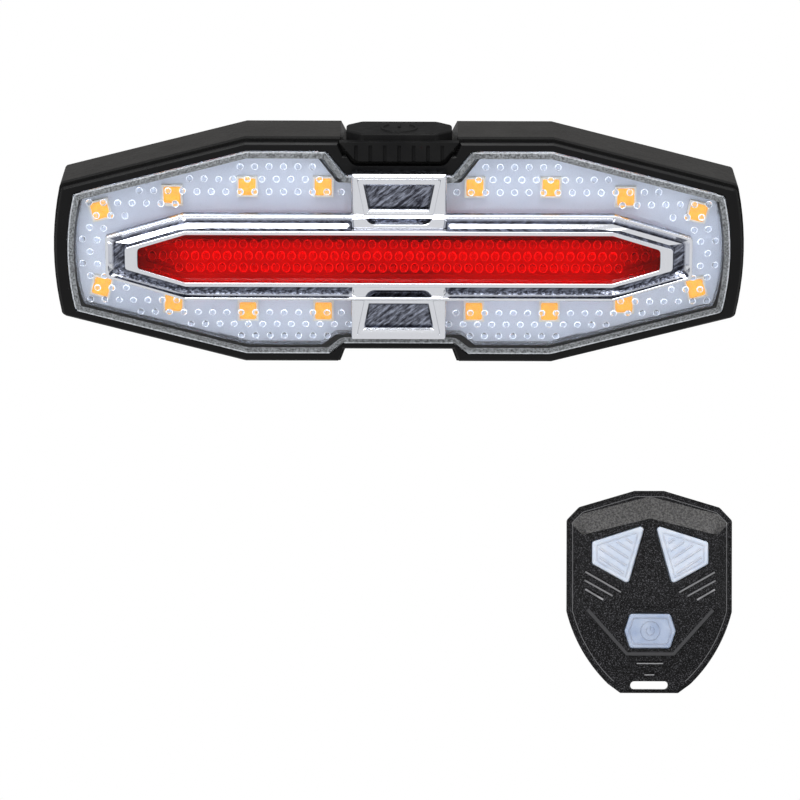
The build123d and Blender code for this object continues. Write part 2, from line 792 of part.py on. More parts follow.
# Power button: a fluted rubber skirt in the bezel's bowl and a raised pad on top of the light
pad_top = light_half_height + pad_height
pad_bottom = notch_floor + button_travel + button_air
pad_back = pad_front + pad_depth
skirt_bottom = bowl_floor + button_travel + button_air
skirt_top = pad_top - pad_height - button_air
skirt_mouth = bowl_half_width + bowl_flare - skirt_gap
skirt_foot = bowl_half_width - skirt_gap
with BuildPart() as power_button:
    with BuildSketch(Plane.XY.offset(pad_bottom)):
        with BuildLine():
            front_y = rim_y + pad_front
            back_edge_y = rim_y + pad_back
            Polyline((-pad_flat_half_width, front_y), (pad_flat_half_width, front_y),
                     (pad_half_width, front_y + pad_corner_run), (pad_half_width, back_edge_y - pad_corner_run),
                     (pad_flat_half_width, back_edge_y), (-pad_flat_half_width, back_edge_y),
                     (-pad_half_width, back_edge_y - pad_corner_run),
                     (-pad_half_width, front_y + pad_corner_run),
                     close=True)
        make_face()
        fillet(vertices(), pad_corner)
    extrude(amount=pad_top - pad_bottom)
    fillet(power_button.edges().group_by(Axis.Z)[-1], pad_edge)
    with BuildSketch(layer(skirt_back)):
        with BuildLine():
            FilletPolyline((-skirt_mouth, skirt_top), (-skirt_foot, skirt_bottom), (skirt_foot, skirt_bottom),
                           (skirt_mouth, skirt_top), radius=bowl_corner)
            Line((skirt_mouth, skirt_top), (-skirt_mouth, skirt_top))
        make_face()
    extrude(amount=skirt_back + skirt_proud)
    with BuildSketch(layer(flute_depth - skirt_proud)):
        with GridLocations(flute_pitch, flute_pitch, flute_count, 1):
            with Locations((0, skirt_top - flute_margin - overrun)):
                Rectangle(flute_width, 2 * overrun)
    extrude(amount=flute_depth, mode=Mode.SUBTRACT)
    with BuildSketch(Plane.XY.offset(pad_bottom)):
        with Locations((0, rim_y + button_depth)):
            Circle(stem_disc_radius + seat_gap)
    extrude(amount=stem_disc_height, mode=Mode.SUBTRACT)
power_button.part.label = "power_button"

# Hard stem inside the rubber button, and the switch that it presses
switch_top = main_board_top - switch_drop
with BuildPart() as button_stem:
    with BuildSketch(Plane.XY.offset(pad_bottom)):
        with Locations((0, rim_y + button_depth)):
            Circle(stem_disc_radius)
    extrude(amount=stem_disc_height)
    with BuildSketch(Plane.XY.offset(switch_top + plunger_length)):
        with Locations((0, rim_y + button_depth)):
            Circle(stem_radius)
    extrude(amount=pad_bottom - switch_top - plunger_length)
button_stem.part.label = "button_stem"

with BuildPart() as button_switch:
    with BuildSketch(Plane.XY.offset(switch_top - switch_height)):
        with Locations((0, rim_y + button_depth)):
            Rectangle(switch_size, switch_thickness)
    extrude(amount=switch_height)
    with BuildSketch(Plane.XY.offset(switch_top)):
        with Locations((0, rim_y + button_depth)):
            Circle(plunger_radius + plunger_play)
    extrude(amount=-plunger_sunk - button_travel - button_air, mode=Mode.SUBTRACT)
button_switch.part.label = "button_switch"

with BuildPart() as switch_plunger:
    with BuildSketch(Plane.XY.offset(switch_top - plunger_sunk)):
        with Locations((0, rim_y + button_depth)):
            Circle(plunger_radius)
    extrude(amount=plunger_sunk + plunger_length)
switch_plunger.part.label = "switch_plunger"

# Main board, the chips on it, and the header that joins it to the lamp board
with BuildPart() as main_board:
    with BuildSketch(layer(main_board_back)):
        with Locations((0, (main_board_top - main_board_bottom) / 2)):
            RectangleRounded(2 * main_board_half_width, main_board_top + main_board_bottom, battery_corner)
    extrude(amount=main_board_thickness)
main_board.part.label = "main_board"

chip_spots = [(-board_post_columns / 2, -chip_side), (header_offset / 2, -chip_side), (board_post_columns, 0)]
with BuildPart() as board_chips:
    with BuildSketch(layer(main_board_front)):
        with Locations(*chip_spots):
            Rectangle(chip_side, chip_side)
    extrude(amount=chip_height)
board_chips.part.label = "board_chips"

with BuildPart() as board_headers:
    with BuildSketch(layer(main_board_front)):
        with Locations((-header_offset, 0), (header_offset, 0)):
            Rectangle(header_height, header_width)
    extrude(amount=main_board_space)
board_headers.part.label = "board_headers"

with BuildPart() as antenna_coil:
    with BuildSketch(Plane.XY.offset(-antenna_length / 2)):
        with Locations((-main_board_half_width + antenna_end_gap, rim_y + main_board_front - antenna_radius)):
            Circle(antenna_radius)
            Circle(antenna_radius / 2, mode=Mode.SUBTRACT)
    extrude(amount=antenna_length)
antenna_coil.part.label = "antenna_coil"

# Flat cell behind the main board, and the foam that presses it there
battery_middle = battery_height / 2 - battery_low
battery_front = main_board_back + board_gap
battery_back = battery_front + battery_thickness
with BuildPart() as battery:
    with BuildSketch(layer(battery_back)):
        with Locations((0, battery_middle)):
            RectangleRounded(battery_width, battery_height, battery_corner)
    extrude(amount=battery_thickness)
    chamfer(battery.edges().group_by(Axis.Y)[0] + battery.edges().group_by(Axis.Y)[-1], battery_corner / 3)
battery.part.label = "battery"

with BuildPart() as battery_foam:
    with BuildSketch(layer(cover_inside)):
        with Locations((0, battery_middle)):
            Rectangle(battery_width - battery_pad_margin, battery_height - battery_pad_margin)
    extrude(amount=cover_inside - battery_back)
battery_foam.part.label = "battery_foam"

# Charging socket, and the rubber flap that covers it
socket_y = rim_y + port_depth
socket_mouth = -(notch_floor - seat_gap)
with BuildPart() as charge_socket:
    with BuildSketch(Plane.XY.offset(socket_mouth)):
        with Locations((0, socket_y)):
            RectangleRounded(socket_width, socket_thickness, socket_thickness / 2 - seat_gap)
    extrude(amount=socket_length)
    with BuildSketch(Plane.XY.offset(socket_mouth)):
        with Locations((0, socket_y)):
            RectangleRounded(socket_width - 2 * socket_skin, socket_thickness - 2 * socket_skin,
                             socket_thickness / 2 - socket_skin - seat_gap)
    extrude(amount=socket_length - 2 * socket_skin, mode=Mode.SUBTRACT)
    with BuildSketch(Plane.XY.offset(socket_mouth + 2 * plug_length)):
        with Locations((0, socket_y)):
            Rectangle(socket_tongue_width, socket_tongue)
    extrude(amount=socket_length - 2 * plug_length)
charge_socket.part.label = "charge_socket"

flap_back = bead_depth - flap_neck_depth
with BuildPart() as charge_flap:
    with BuildSketch(Plane.XY.offset(-notch_floor - flap_gap)):
        with Locations((0, rim_y + (flap_front + flap_back) / 2)):
            RectangleRounded(2 * flap_half_width, flap_back - flap_front, flap_corner)
        with Locations((0, rim_y + (flap_front + bead_depth) / 2)):
            Rectangle(2 * flap_neck_half_width - 2 * flap_corner, bead_depth - flap_front)
    extrude(amount=-flap_thickness)
    with BuildSketch(Plane.XY.offset(-notch_floor - flap_gap)):
        with Locations((0, socket_y + plug_shift)):
            Rectangle(plug_width, plug_thickness)
    extrude(amount=plug_length)
    with BuildSketch(Plane.YZ.offset(-flap_neck_half_width - lug_width)):
        with Locations((rim_y + bead_depth, -bead_drop)):
            Circle(bead_radius)
    extrude(amount=2 * (flap_neck_half_width + lug_width))
charge_flap.part.label = "charge_flap"

# Saddle bracket on the back: a concave block for the seat post with a hook each side for a rubber strap
horn_x = seat_radius * sin(radians(grip_half_angle))
horn_y = -seat_radius * cos(radians(grip_half_angle))
flank_x = horn_x + bracket_flank
with BuildPart() as post_bracket:
    with BuildSketch(Plane.XY.offset(-bracket_height / 2)):
        with BuildLine():
            Polyline((-bracket_foot_half_width, back_y), (bracket_foot_half_width, back_y),
                     (flank_x, horn_y - bracket_shoulder), (flank_x, horn_y), (-flank_x, horn_y),
                     (-flank_x, horn_y - bracket_shoulder), close=True)
        make_face()
        Circle(seat_radius, mode=Mode.SUBTRACT)
    extrude(amount=bracket_height)
    shoulders = post_bracket.edges().filter_by(Axis.Z).filter_by(
        lambda edge: abs(edge.center().X) > horn_x + seat_gap)
    fillet(shoulders, bracket_corner)
    for side in (-1, 1):
        with BuildSketch(Plane.XY.offset(-hook_height / 2)):
            with Locations((side * (flank_x + hook_reach / 2), horn_y - hook_thickness / 2)):
                Rectangle(hook_reach, hook_thickness)
            hook_x = flank_x + hook_reach - hook_thickness / 2
            with Locations((side * hook_x, horn_y - hook_thickness - hook_gap / 2)):
                Rectangle(hook_thickness, hook_gap + hook_thickness)
        extrude(amount=hook_height)
    with BuildSketch(Plane.XZ.offset(seat_radius)):
        with Locations(*bracket_screws_at):
            Circle(screw_radius + screw_play)
    extrude(amount=bracket_web, mode=Mode.SUBTRACT)
    with BuildSketch(Plane.XZ.offset(seat_radius + bracket_counterbore)):
        with Locations(*bracket_screws_at):
            Circle(screw_head_radius + screw_play)
    extrude(amount=-bracket_counterbore - overrun, mode=Mode.SUBTRACT)
post_bracket.part.label = "post_bracket"

with BuildPart() as bracket_screws:
    for place in bracket_screws_at:
        seat = Plane.XZ.offset(seat_radius + bracket_counterbore)
        add(screw_form(seat, place, bracket_screw_length, screw_head_radius, screw_head_height, screw_radius))
bracket_screws.part.label = "bracket_screws"

# Rubber liner of the saddle
with BuildPart() as post_pad:
    with BuildSketch(Plane.XY.offset(-bracket_height / 2)):
        Circle(seat_radius)
        Circle(post_radius, mode=Mode.SUBTRACT)
        with BuildLine():
            reach = 2 * seat_radius
            Polyline((0, 0), (reach * sin(radians(grip_half_angle)), -reach * cos(radians(grip_half_angle))),
                     (0, -2 * reach), (-reach * sin(radians(grip_half_angle)),
                                       -reach * cos(radians(grip_half_angle))), close=True)
        make_face(mode=Mode.INTERSECT)
    extrude(amount=bracket_height)
post_pad.part.label = "post_pad"

remote_board_back = remote_board_depth + remote_board_thickness
cell_front = remote_board_back + contact_thickness + seat_gap
cell_back = cell_front + cell_thickness
floor_front = remote_back - remote_floor
door_front = cell_back + seat_gap
flange_front = remote_skin + key_clearance
stem_end = remote_board_depth - dome_height - key_travel - seat_gap
bar_depth = remote_back + bar_clearance + bar_radius
lean = radians(remote_lean)
inward = Axis((remote_x, rim_y, remote_z), (0, cos(lean), -sin(lean)))
remote_screws_at = [(side * x, z) for side in (-1, 1) for x, z in remote_screw_spots]


def remote_layer(depth):
    """Plane across the leaning remote, centred on it, at a depth behind its raised face."""
    face = Plane(origin=(remote_x, rim_y, remote_z), x_dir=(1, 0, 0), z_dir=(0, -cos(lean), sin(lean)))
    return face.offset(-depth)


def remote_section(offset):
    """Plane along the leaning remote, with depth and height as its axes, to the right of its middle."""
    side_face = Plane(origin=(remote_x, rim_y, remote_z), x_dir=(0, cos(lean), -sin(lean)), z_dir=(1, 0, 0))
    return side_face.offset(offset)


def remote_spot(shares, side=1):
    """Place on the remote's face, from its shares of the half width and half height."""
    return (side * shares[0] * remote_half_width, shares[1] * remote_half_height)


def remote_polygon(shares):
    """Face whose corners are given on the right and mirrored to the left."""
    right = [remote_spot(pair) for pair in shares]
    left = [remote_spot(pair, -1) for pair in reversed(shares) if pair[0]]
    with BuildSketch() as face:
        with BuildLine():
            Polyline(*(right + left), close=True)
        make_face()
    return face.sketch


def remote_face(margin=0, drop=remote_half_height + overrun):
    """Outline of the remote drawn in by a margin and cut off at a distance below its middle."""
    with BuildSketch() as face:
        with BuildLine():
            Polyline(*[remote_spot(pair) for pair in outline_shares])
            ThreePointArc(remote_spot(outline_shares[-1]), remote_spot(hip_shares), remote_spot(heel_shares[0]))
            Polyline(*[remote_spot(pair) for pair in heel_shares])
            Line(remote_spot(heel_shares[-1]), remote_spot(outline_shares[0]))
        make_face()
        mirror(about=Plane.YZ)
        if margin:
            offset(amount=-margin, kind=Kind.INTERSECTION, mode=Mode.REPLACE)
        shoulder = remote_half_width * sum(outline_shares[1][:1] + outline_shares[2][:1]) / 2
        fillet(face.vertices().filter_by(lambda v: abs(v.X) > shoulder and v.Y > 0), remote_corner)
        with Locations((0, -drop - remote_half_height)):
            Rectangle(4 * remote_half_width, 2 * remote_half_height, mode=Mode.SUBTRACT)
    return face.sketch


def key_face(shares, side, growth, rounding):
    """Outline of one button of the remote, grown by an amount."""
    if side:
        corners = [remote_spot(pair, side) for pair in shares]
    else:
        corners = [remote_spot(pair) for pair in shares] + [remote_spot(pair, -1) for pair in reversed(shares)]
    with BuildSketch() as face:
        with BuildLine():
            Polyline(*corners, close=True)
        make_face()
        fillet(face.vertices(), rounding)
        if growth:
            offset(amount=growth, kind=Kind.ARC, mode=Mode.REPLACE)
    return face.sketch


def strip(start, end, width):
    """Straight strip between two points of a sketch."""
    length = ((end[0] - start[0]) ** 2 + (end[1] - start[1]) ** 2) ** 0.5
    angle = atan2(end[1] - start[1], end[0] - start[0])
    with BuildSketch() as face:
        with Locations(Location(((start[0] + end[0]) / 2, (start[1] + end[1]) / 2, 0), (0, 0, degrees(angle)))):
            SlotOverall(length, width)
    return face.sketch


key_plans = ((turn_key_shares, -1), (turn_key_shares, 1), (mode_key_shares, 0))
switch_spots = [remote_spot(turn_switch_shares, -1), remote_spot(turn_switch_shares),
                remote_spot(mode_switch_shares)]

# Front of the remote: a faceted crown on a stepped rim, with a slotted tab below
with BuildPart() as remote_front:
    with BuildSketch(remote_layer(remote_split)):
        add(remote_face())
    extrude(amount=remote_split - remote_rim_depth)
    with BuildSketch(remote_layer(remote_rim_depth)):
        add(remote_face(remote_rim_step))
    extrude(amount=remote_rim_depth - remote_crown_depth)
    with BuildSketch(remote_layer(remote_crown_depth)):
        add(remote_polygon(crown_foot_shares))
    with BuildSketch(remote_layer(0)):
        add(remote_polygon(plateau_shares))
    loft(ruled=True)
    with BuildSketch(remote_layer(0)):
        with BuildLine():
            top_right, low_right = [remote_spot(pair) for pair in wedge_shares]
            top_left, low_left = [remote_spot(pair, -1) for pair in wedge_shares]
            Polyline(top_left, top_right, low_right, low_left, close=True)
        make_face()
    extrude(amount=wedge_height)
    with BuildSketch(remote_layer(0)):
        add(remote_polygon(plateau_shares))
        offset(amount=-ridge_width, kind=Kind.INTERSECTION, mode=Mode.SUBTRACT)
        with Locations((0, remote_half_height - ridge_drop)):
            Rectangle(4 * remote_half_width, 2 * remote_half_height, mode=Mode.SUBTRACT)
    extrude(amount=ridge_height)
    with BuildSketch(remote_layer(groove_depth)):
        for side in (-1, 1):
            for outer_x, outer_z, inner_x, inner_z in groove_shares:
                outer = remote_spot((outer_x, outer_z), side)
                inner = remote_spot((inner_x, inner_z), side)
                add(strip(outer, inner, groove_width))
    extrude(amount=groove_depth, mode=Mode.SUBTRACT)
    with BuildSketch(remote_layer(chevron_depth)):
        for side in (-1, 1):
            for outer_x, outer_z, inner_x, inner_z in chevron_shares:
                outer = remote_spot((outer_x, outer_z), side)
                inner = remote_spot((inner_x, inner_z), side)
                add(strip(outer, inner, chevron_width))
    extrude(amount=chevron_depth, mode=Mode.SUBTRACT)
    crown_foot_z = crown_foot_shares[-1][1]
    plateau_foot_z = plateau_shares[-1][1]
    for mark_x, mark_z in foot_mark_shares:
        slope_depth = remote_crown_depth * (mark_z - plateau_foot_z) / (crown_foot_z - plateau_foot_z)
        with BuildSketch(remote_layer(slope_depth + foot_mark_depth)):
            with Locations((0, mark_z * remote_half_height)):
                Rectangle(2 * mark_x * remote_half_width, foot_mark_height)
        extrude(amount=remote_split, mode=Mode.SUBTRACT)
    with BuildSketch(remote_layer(remote_split)):
        with Locations((0, -strap_slot_drop)):
            SlotOverall(2 * strap_slot_half_width, strap_slot_height)
    extrude(amount=remote_split + overrun, mode=Mode.SUBTRACT)
    with BuildSketch(remote_layer(remote_step_back)):
        add(remote_polygon(plateau_shares))
    extrude(amount=remote_step_back - remote_skin, mode=Mode.SUBTRACT)
    with BuildSketch(remote_layer(remote_split)):
        add(remote_face(remote_rim_step + remote_skin, remote_tab_drop - remote_skin))
    extrude(amount=remote_split - remote_step_back, mode=Mode.SUBTRACT)
    with BuildSketch(remote_layer(remote_board_depth)):
        with Locations(*remote_screws_at):
            Circle(remote_boss_radius)
    extrude(amount=remote_board_depth - remote_step_back + key_clearance)
    with BuildSketch(remote_layer(remote_board_depth)):
        with Locations(*remote_screws_at):
            Circle(remote_screw_radius + seat_gap)
    extrude(amount=remote_board_depth - remote_step_back - key_clearance, mode=Mode.SUBTRACT)
    with BuildSketch(remote_layer(remote_step_back)):
        for shares, side in key_plans:
            add(key_face(shares, side, key_gap, key_corner))
    extrude(amount=remote_step_back + overrun, mode=Mode.SUBTRACT)
remote_front.part.label = "remote_front"


def remote_key(shares, side, spot, label):
    """Rubber button: a cap through the front, a flange behind it and a stem towards its switch."""
    with BuildPart() as key:
        with BuildSketch(remote_layer(flange_front)):
            add(key_face(shares, side, 0, key_corner))
        extrude(amount=flange_front + key_proud)
        chamfer(key.edges().group_by(inward)[0], key_edge)
        with BuildSketch(remote_layer(flange_front + key_flange_depth)):
            add(key_face(shares, side, key_flange, key_corner))
        extrude(amount=key_flange_depth)
        with BuildSketch(remote_layer(stem_end)):
            with Locations(spot):
                Circle(key_stem_radius)
        extrude(amount=stem_end - flange_front)
    key.part.label = label
    return key.part


key_names = ("left_turn_button", "right_turn_button", "mode_button")
remote_keys = [remote_key(shares, side, spot, name)
               for (shares, side), spot, name in zip(key_plans, switch_spots, key_names)]

# Circuit board of the remote, with the domes that the buttons press
with BuildPart() as remote_board:
    with BuildSketch(remote_layer(remote_board_back)):
        add(remote_face(remote_board_inset, remote_tab_drop - remote_board_inset + key_clearance))
        with Locations(*remote_screws_at):
            Circle(remote_boss_radius + key_clearance, mode=Mode.SUBTRACT)
    extrude(amount=remote_board_thickness)
remote_board.part.label = "remote_board"

with BuildPart() as dome_switches:
    with BuildSketch(remote_layer(remote_board_depth)):
        with Locations(*switch_spots):
            Rectangle(dome_side, dome_side)
    extrude(amount=dome_height)
dome_switches.part.label = "dome_switches"

# Coin cell with its contact and the ring that holds it
with BuildPart() as cell_contact:
    with BuildSketch(remote_layer(remote_board_back + contact_thickness)):
        with Locations((0, cell_rise)):
            Rectangle(contact_width, contact_length)
    extrude(amount=contact_thickness)
cell_contact.part.label = "cell_contact"

with BuildPart() as coin_cell:
    with BuildSketch(remote_layer(cell_back)):
        with Locations((0, cell_rise)):
            Circle(cell_radius)
    extrude(amount=cell_thickness)
    chamfer(coin_cell.edges().group_by(inward)[0], contact_thickness)
coin_cell.part.label = "coin_cell"

with BuildPart() as cell_holder:
    with BuildSketch(remote_layer(remote_board_back + cell_ring_height)):
        with Locations((0, cell_rise)):
            Circle(cell_radius + cell_ring_play + cell_ring)
            Circle(cell_radius + cell_ring_play, mode=Mode.SUBTRACT)
    extrude(amount=cell_ring_height)
cell_holder.part.label = "cell_holder"


def door_lugs(radius, spread, turn):
    """Three sectors round the battery door, reaching out to a radius."""
    with BuildSketch() as face:
        for count in range(door_lug_count):
            middle = radians(90 + turn + 360 * count / door_lug_count)
            half = radians(spread / 2)
            reach = 2 * radius
            with BuildLine():
                Polyline((0, 0), (reach * cos(middle - half), reach * sin(middle - half)),
                         (reach * cos(middle + half), reach * sin(middle + half)), close=True)
            make_face()
        Circle(radius, mode=Mode.INTERSECT)
    return face.sketch


# Seat on the handlebar: two cheeks hollowed to the bar, cut back to the remote's outline
def bar_cheeks(inner_radius, outer_radius, rooted):
    """Two upright cheeks between a radius and the remote's back, or two liners between two radii."""
    with BuildPart() as cheeks:
        for side in (-1, 1):
            middle = side * (cheek_inner + cheek_outer) / 2
            with BuildSketch(remote_section(middle)):
                with Locations((bar_depth, bar_rise)):
                    if rooted:
                        with Locations((-outer_radius, 0)):
                            Rectangle(2 * (outer_radius - inner_radius * cos(radians(bar_half_angle))),
                                      2 * (inner_radius * sin(radians(bar_half_angle)) + cheek_margin))
                    else:
                        Circle(outer_radius)
                    Circle(inner_radius, mode=Mode.SUBTRACT)
                if not rooted:
                    reach = 2 * outer_radius
                    with BuildLine():
                        edge_depth = bar_depth - reach * cos(radians(bar_half_angle))
                        edge_rise = reach * sin(radians(bar_half_angle))
                        Polyline((bar_depth, bar_rise), (edge_depth, bar_rise + edge_rise),
                                 (bar_depth - 2 * reach, bar_rise),
                                 (edge_depth, bar_rise - edge_rise), close=True)
                    make_face(mode=Mode.INTERSECT)
            extrude(amount=(cheek_outer - cheek_inner) / 2, both=True)
        with BuildSketch(remote_layer(remote_back + 2 * bar_radius)):
            add(remote_face(shell_step + remote_back_edge, remote_tab_drop - remote_back_edge))
        extrude(amount=2 * bar_radius + seat_gap, mode=Mode.INTERSECT)
    return cheeks.part


# Rear of the remote: a tray with a round battery opening, screw bosses, bar cheeks and a strap hook
with BuildPart() as remote_rear:
    with BuildSketch(remote_layer(remote_back - remote_back_edge)):
        add(remote_face(shell_step, remote_tab_drop))
    extrude(amount=remote_back - remote_back_edge - remote_split)
    with BuildSketch(remote_layer(remote_back - remote_back_edge)):
        add(remote_face(shell_step, remote_tab_drop))
    with BuildSketch(remote_layer(remote_back)):
        add(remote_face(shell_step + remote_back_edge, remote_tab_drop - remote_back_edge))
    loft(ruled=True)
    with BuildSketch(remote_layer(floor_front)):
        add(remote_face(shell_step + remote_wall, remote_tab_drop - remote_wall))
        with Locations(*remote_screws_at):
            Circle(remote_boss_radius, mode=Mode.SUBTRACT)
    extrude(amount=floor_front - remote_split, mode=Mode.SUBTRACT)
    with BuildSketch(remote_layer(remote_back)):
        with Locations((0, cell_rise)):
            Circle(door_radius + door_play)
            add(door_lugs(door_radius + door_lug_reach + door_play, door_notch_angle, -door_turn).moved(
                Location((0, cell_rise, 0))))
    extrude(amount=remote_floor, mode=Mode.SUBTRACT)
    with BuildSketch(remote_layer(remote_back)):
        with Locations(*remote_screws_at):
            Circle(remote_screw_radius + screw_play)
    extrude(amount=remote_back - remote_split, mode=Mode.SUBTRACT)
    with BuildSketch(remote_layer(remote_back)):
        with Locations(*remote_screws_at):
            Circle(remote_screw_head + screw_play)
    extrude(amount=remote_screw_head_height, mode=Mode.SUBTRACT)
    add(bar_cheeks(bar_radius + bar_pad_thickness, bar_radius + bar_clearance, True))
    with BuildSketch(remote_section(0)):
        hook_root = remote_back - remote_back_edge
        hook_tip = remote_back + strap_hook_gap + strap_hook_width
        shelf_rise = strap_hook_rise + strap_hook_width
        with BuildLine():
            Polyline((hook_root, strap_hook_rise), (hook_tip, strap_hook_rise),
                     (hook_tip, shelf_rise + strap_hook_reach),
                     (hook_tip - strap_hook_width, shelf_rise + strap_hook_reach),
                     (hook_tip - strap_hook_width, shelf_rise), (hook_root, shelf_rise), close=True)
        make_face()
    extrude(amount=strap_hook_half_width, both=True)
remote_rear.part.label = "remote_rear"

remote_grips = bar_cheeks(bar_radius, bar_radius + bar_pad_thickness, False)
remote_grips.label = "remote_grips"

# Battery door: a disc with three lugs and a coin slot, and its sealing ring
with BuildPart() as battery_door:
    with BuildSketch(remote_layer(remote_back)):
        with Locations((0, cell_rise)):
            Circle(door_radius)
    extrude(amount=remote_back - door_front)
    with BuildSketch(remote_layer(door_front + door_lug_thickness)):
        add(door_lugs(door_radius + door_lug_reach, door_lug_angle, 0).moved(Location((0, cell_rise, 0))))
    extrude(amount=door_lug_thickness)
    chamfer(battery_door.edges().group_by(inward)[-1], door_edge)
    with BuildSketch(remote_layer(remote_back)):
        with Locations((0, cell_rise)):
            SlotOverall(coin_slot_length, coin_slot_width)
    extrude(amount=coin_slot_depth, mode=Mode.SUBTRACT)
    with BuildSketch(remote_layer(floor_front + remote_floor / 2 + door_groove)):
        with Locations((0, cell_rise)):
            Circle(door_radius + overrun)
            Circle(door_radius - door_groove, mode=Mode.SUBTRACT)
    extrude(amount=2 * door_seal_radius + key_clearance, mode=Mode.SUBTRACT)
battery_door.part.label = "battery_door"

seal_depth_in = floor_front + remote_floor / 2 + door_groove - door_seal_radius - seat_gap
with BuildPart() as door_seal:
    with BuildSketch(remote_section(0)):
        with Locations((seal_depth_in, cell_rise + door_radius - door_groove + door_seal_radius + seat_gap)):
            Circle(door_seal_radius)
    centre = remote_layer(seal_depth_in).from_local_coords((0, cell_rise, 0))
    revolve(axis=Axis(centre, inward.direction))
door_seal.part.label = "door_seal"

with BuildPart() as remote_screws:
    for place in remote_screws_at:
        seat = remote_layer(remote_back - remote_screw_head_height)
        add(screw_form(seat, place, remote_screw_length, remote_screw_head, remote_screw_head_height,
                       remote_screw_radius))
remote_screws.part.label = "remote_screws"

pieces = [front_bezel.part, main_housing.part, rear_cover.part, cover_seal.part, cover_screws.part,
          clear_lens.part, lens_seal.part, chrome_trim.part, red_lens.part, lamp_board.part, amber_left,
          amber_right, red_chips.part, power_button.part, button_stem.part, button_switch.part,
          switch_plunger.part, main_board.part, board_chips.part, board_headers.part, antenna_coil.part,
          battery.part, battery_foam.part, charge_socket.part, charge_flap.part, post_bracket.part,
          bracket_screws.part, post_pad.part, remote_front.part, remote_rear.part, remote_grips,
          remote_board.part, dome_switches.part, cell_contact.part, cell_holder.part, coin_cell.part,
          battery_door.part, door_seal.part, remote_screws.part] + remote_keys
os.makedirs("parts", exist_ok=True)
for piece in pieces:
    export_step(piece, f"parts/{piece.label}.step")
    print(piece.label, len(piece.solids()), round(piece.volume, 1), piece.bounding_box())
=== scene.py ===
import json
import math

import bmesh
import bpy
from mathutils import Matrix, Vector
from mathutils.bvhtree import BVHTree
from mathutils.geometry import convex_hull_2d


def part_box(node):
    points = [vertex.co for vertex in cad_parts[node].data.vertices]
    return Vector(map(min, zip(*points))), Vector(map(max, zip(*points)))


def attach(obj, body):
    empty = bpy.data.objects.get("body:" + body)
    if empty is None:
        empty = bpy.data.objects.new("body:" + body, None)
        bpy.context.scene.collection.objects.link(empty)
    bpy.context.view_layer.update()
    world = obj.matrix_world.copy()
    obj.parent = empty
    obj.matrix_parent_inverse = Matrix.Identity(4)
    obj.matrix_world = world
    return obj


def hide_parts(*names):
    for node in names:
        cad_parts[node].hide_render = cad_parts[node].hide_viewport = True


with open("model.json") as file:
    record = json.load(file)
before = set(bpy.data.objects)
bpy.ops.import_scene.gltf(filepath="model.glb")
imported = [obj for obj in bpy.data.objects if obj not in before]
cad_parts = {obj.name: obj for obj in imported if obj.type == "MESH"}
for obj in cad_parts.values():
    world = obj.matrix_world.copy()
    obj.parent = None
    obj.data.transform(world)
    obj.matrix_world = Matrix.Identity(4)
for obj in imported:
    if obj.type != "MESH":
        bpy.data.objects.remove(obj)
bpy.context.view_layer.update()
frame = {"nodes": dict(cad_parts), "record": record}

nodes = frame["nodes"]
slot_of = {part["node"]: part["material_slot"] for part in frame["record"]["subparts"]}
body_of = {node: body for body, members in frame["record"]["behaviour"]["bodies"].items() for node in members}

# Sizes of the light and the remote are in millimetres; depths are counted from the rim, backwards
MM = 0.001
RIM_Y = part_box("front_bezel")[0].y / MM
VIEW_ELEVATION = math.radians(17)
REMOTE_LEAN = math.radians(18)
REMOTE_Z = -58.7


def linear(code):
    """Linear colour of an sRGB hex value."""
    parts = [int(code[place:place + 2], 16) / 255 for place in (0, 2, 4)]
    return [part / 12.92 if part <= 0.04045 else ((part + 0.055) / 1.055) ** 2.4 for part in parts] + [1]


def add_node(tree, kind, settings=None, links=None):
    """One node with its settings; a link is (socket to feed, feeding node, its output)."""
    node = tree.nodes.new(kind)
    for name, value in (settings or {}).items():
        if isinstance(name, str) and hasattr(node, name) and name not in node.inputs:
            setattr(node, name, value)
        else:
            node.inputs[name].default_value = value
    for socket, source, output in links or ():
        tree.links.new(source.outputs[output], node.inputs[socket])
    return node


def new_material(name, settings, code):
    """Material with a Principled shader set on its own sockets."""
    material = bpy.data.materials.new(name)
    material.use_nodes = True
    tree = material.node_tree
    shader = tree.nodes["Principled BSDF"]
    shader.inputs["Base Color"].default_value = linear(code)
    for socket, value in settings.items():
        shader.inputs[socket].default_value = value
    return material, tree, shader


def object_place(tree):
    """Texture coordinates in millimetres of the object's own space."""
    place = add_node(tree, "ShaderNodeTexCoord")
    return add_node(tree, "ShaderNodeMapping", {"Scale": (1 / MM, 1 / MM, 1 / MM)},
                    [("Vector", place, "Object")])


def add_grain(tree, shader, grain_mm, depth_mm, strength, detail=3.0):
    """Moulded or blasted grain: noise bumps of a real size."""
    place = object_place(tree)
    noise = add_node(tree, "ShaderNodeTexNoise", {"Scale": 1 / grain_mm, "Detail": detail, "Roughness": 0.5},
                     [("Vector", place, "Vector")])
    bump = add_node(tree, "ShaderNodeBump", {"Strength": strength, "Distance": depth_mm * MM},
                    [("Height", noise, "Fac")])
    tree.links.new(bump.outputs["Normal"], shader.inputs["Normal"])
    return place, noise


def add_tone(tree, shader, place, size_mm, low, high):
    """Slow drift of the base colour between two sRGB values."""
    noise = add_node(tree, "ShaderNodeTexNoise", {"Scale": 1 / size_mm, "Detail": 2.0},
                     [("Vector", place, "Vector")])
    ramp = add_node(tree, "ShaderNodeValToRGB", {}, [("Fac", noise, "Fac")])
    ramp.color_ramp.elements[0].position = 0.3
    ramp.color_ramp.elements[0].color = linear(low)
    ramp.color_ramp.elements[1].position = 0.7
    ramp.color_ramp.elements[1].color = linear(high)
    tree.links.new(ramp.outputs["Color"], shader.inputs["Base Color"])


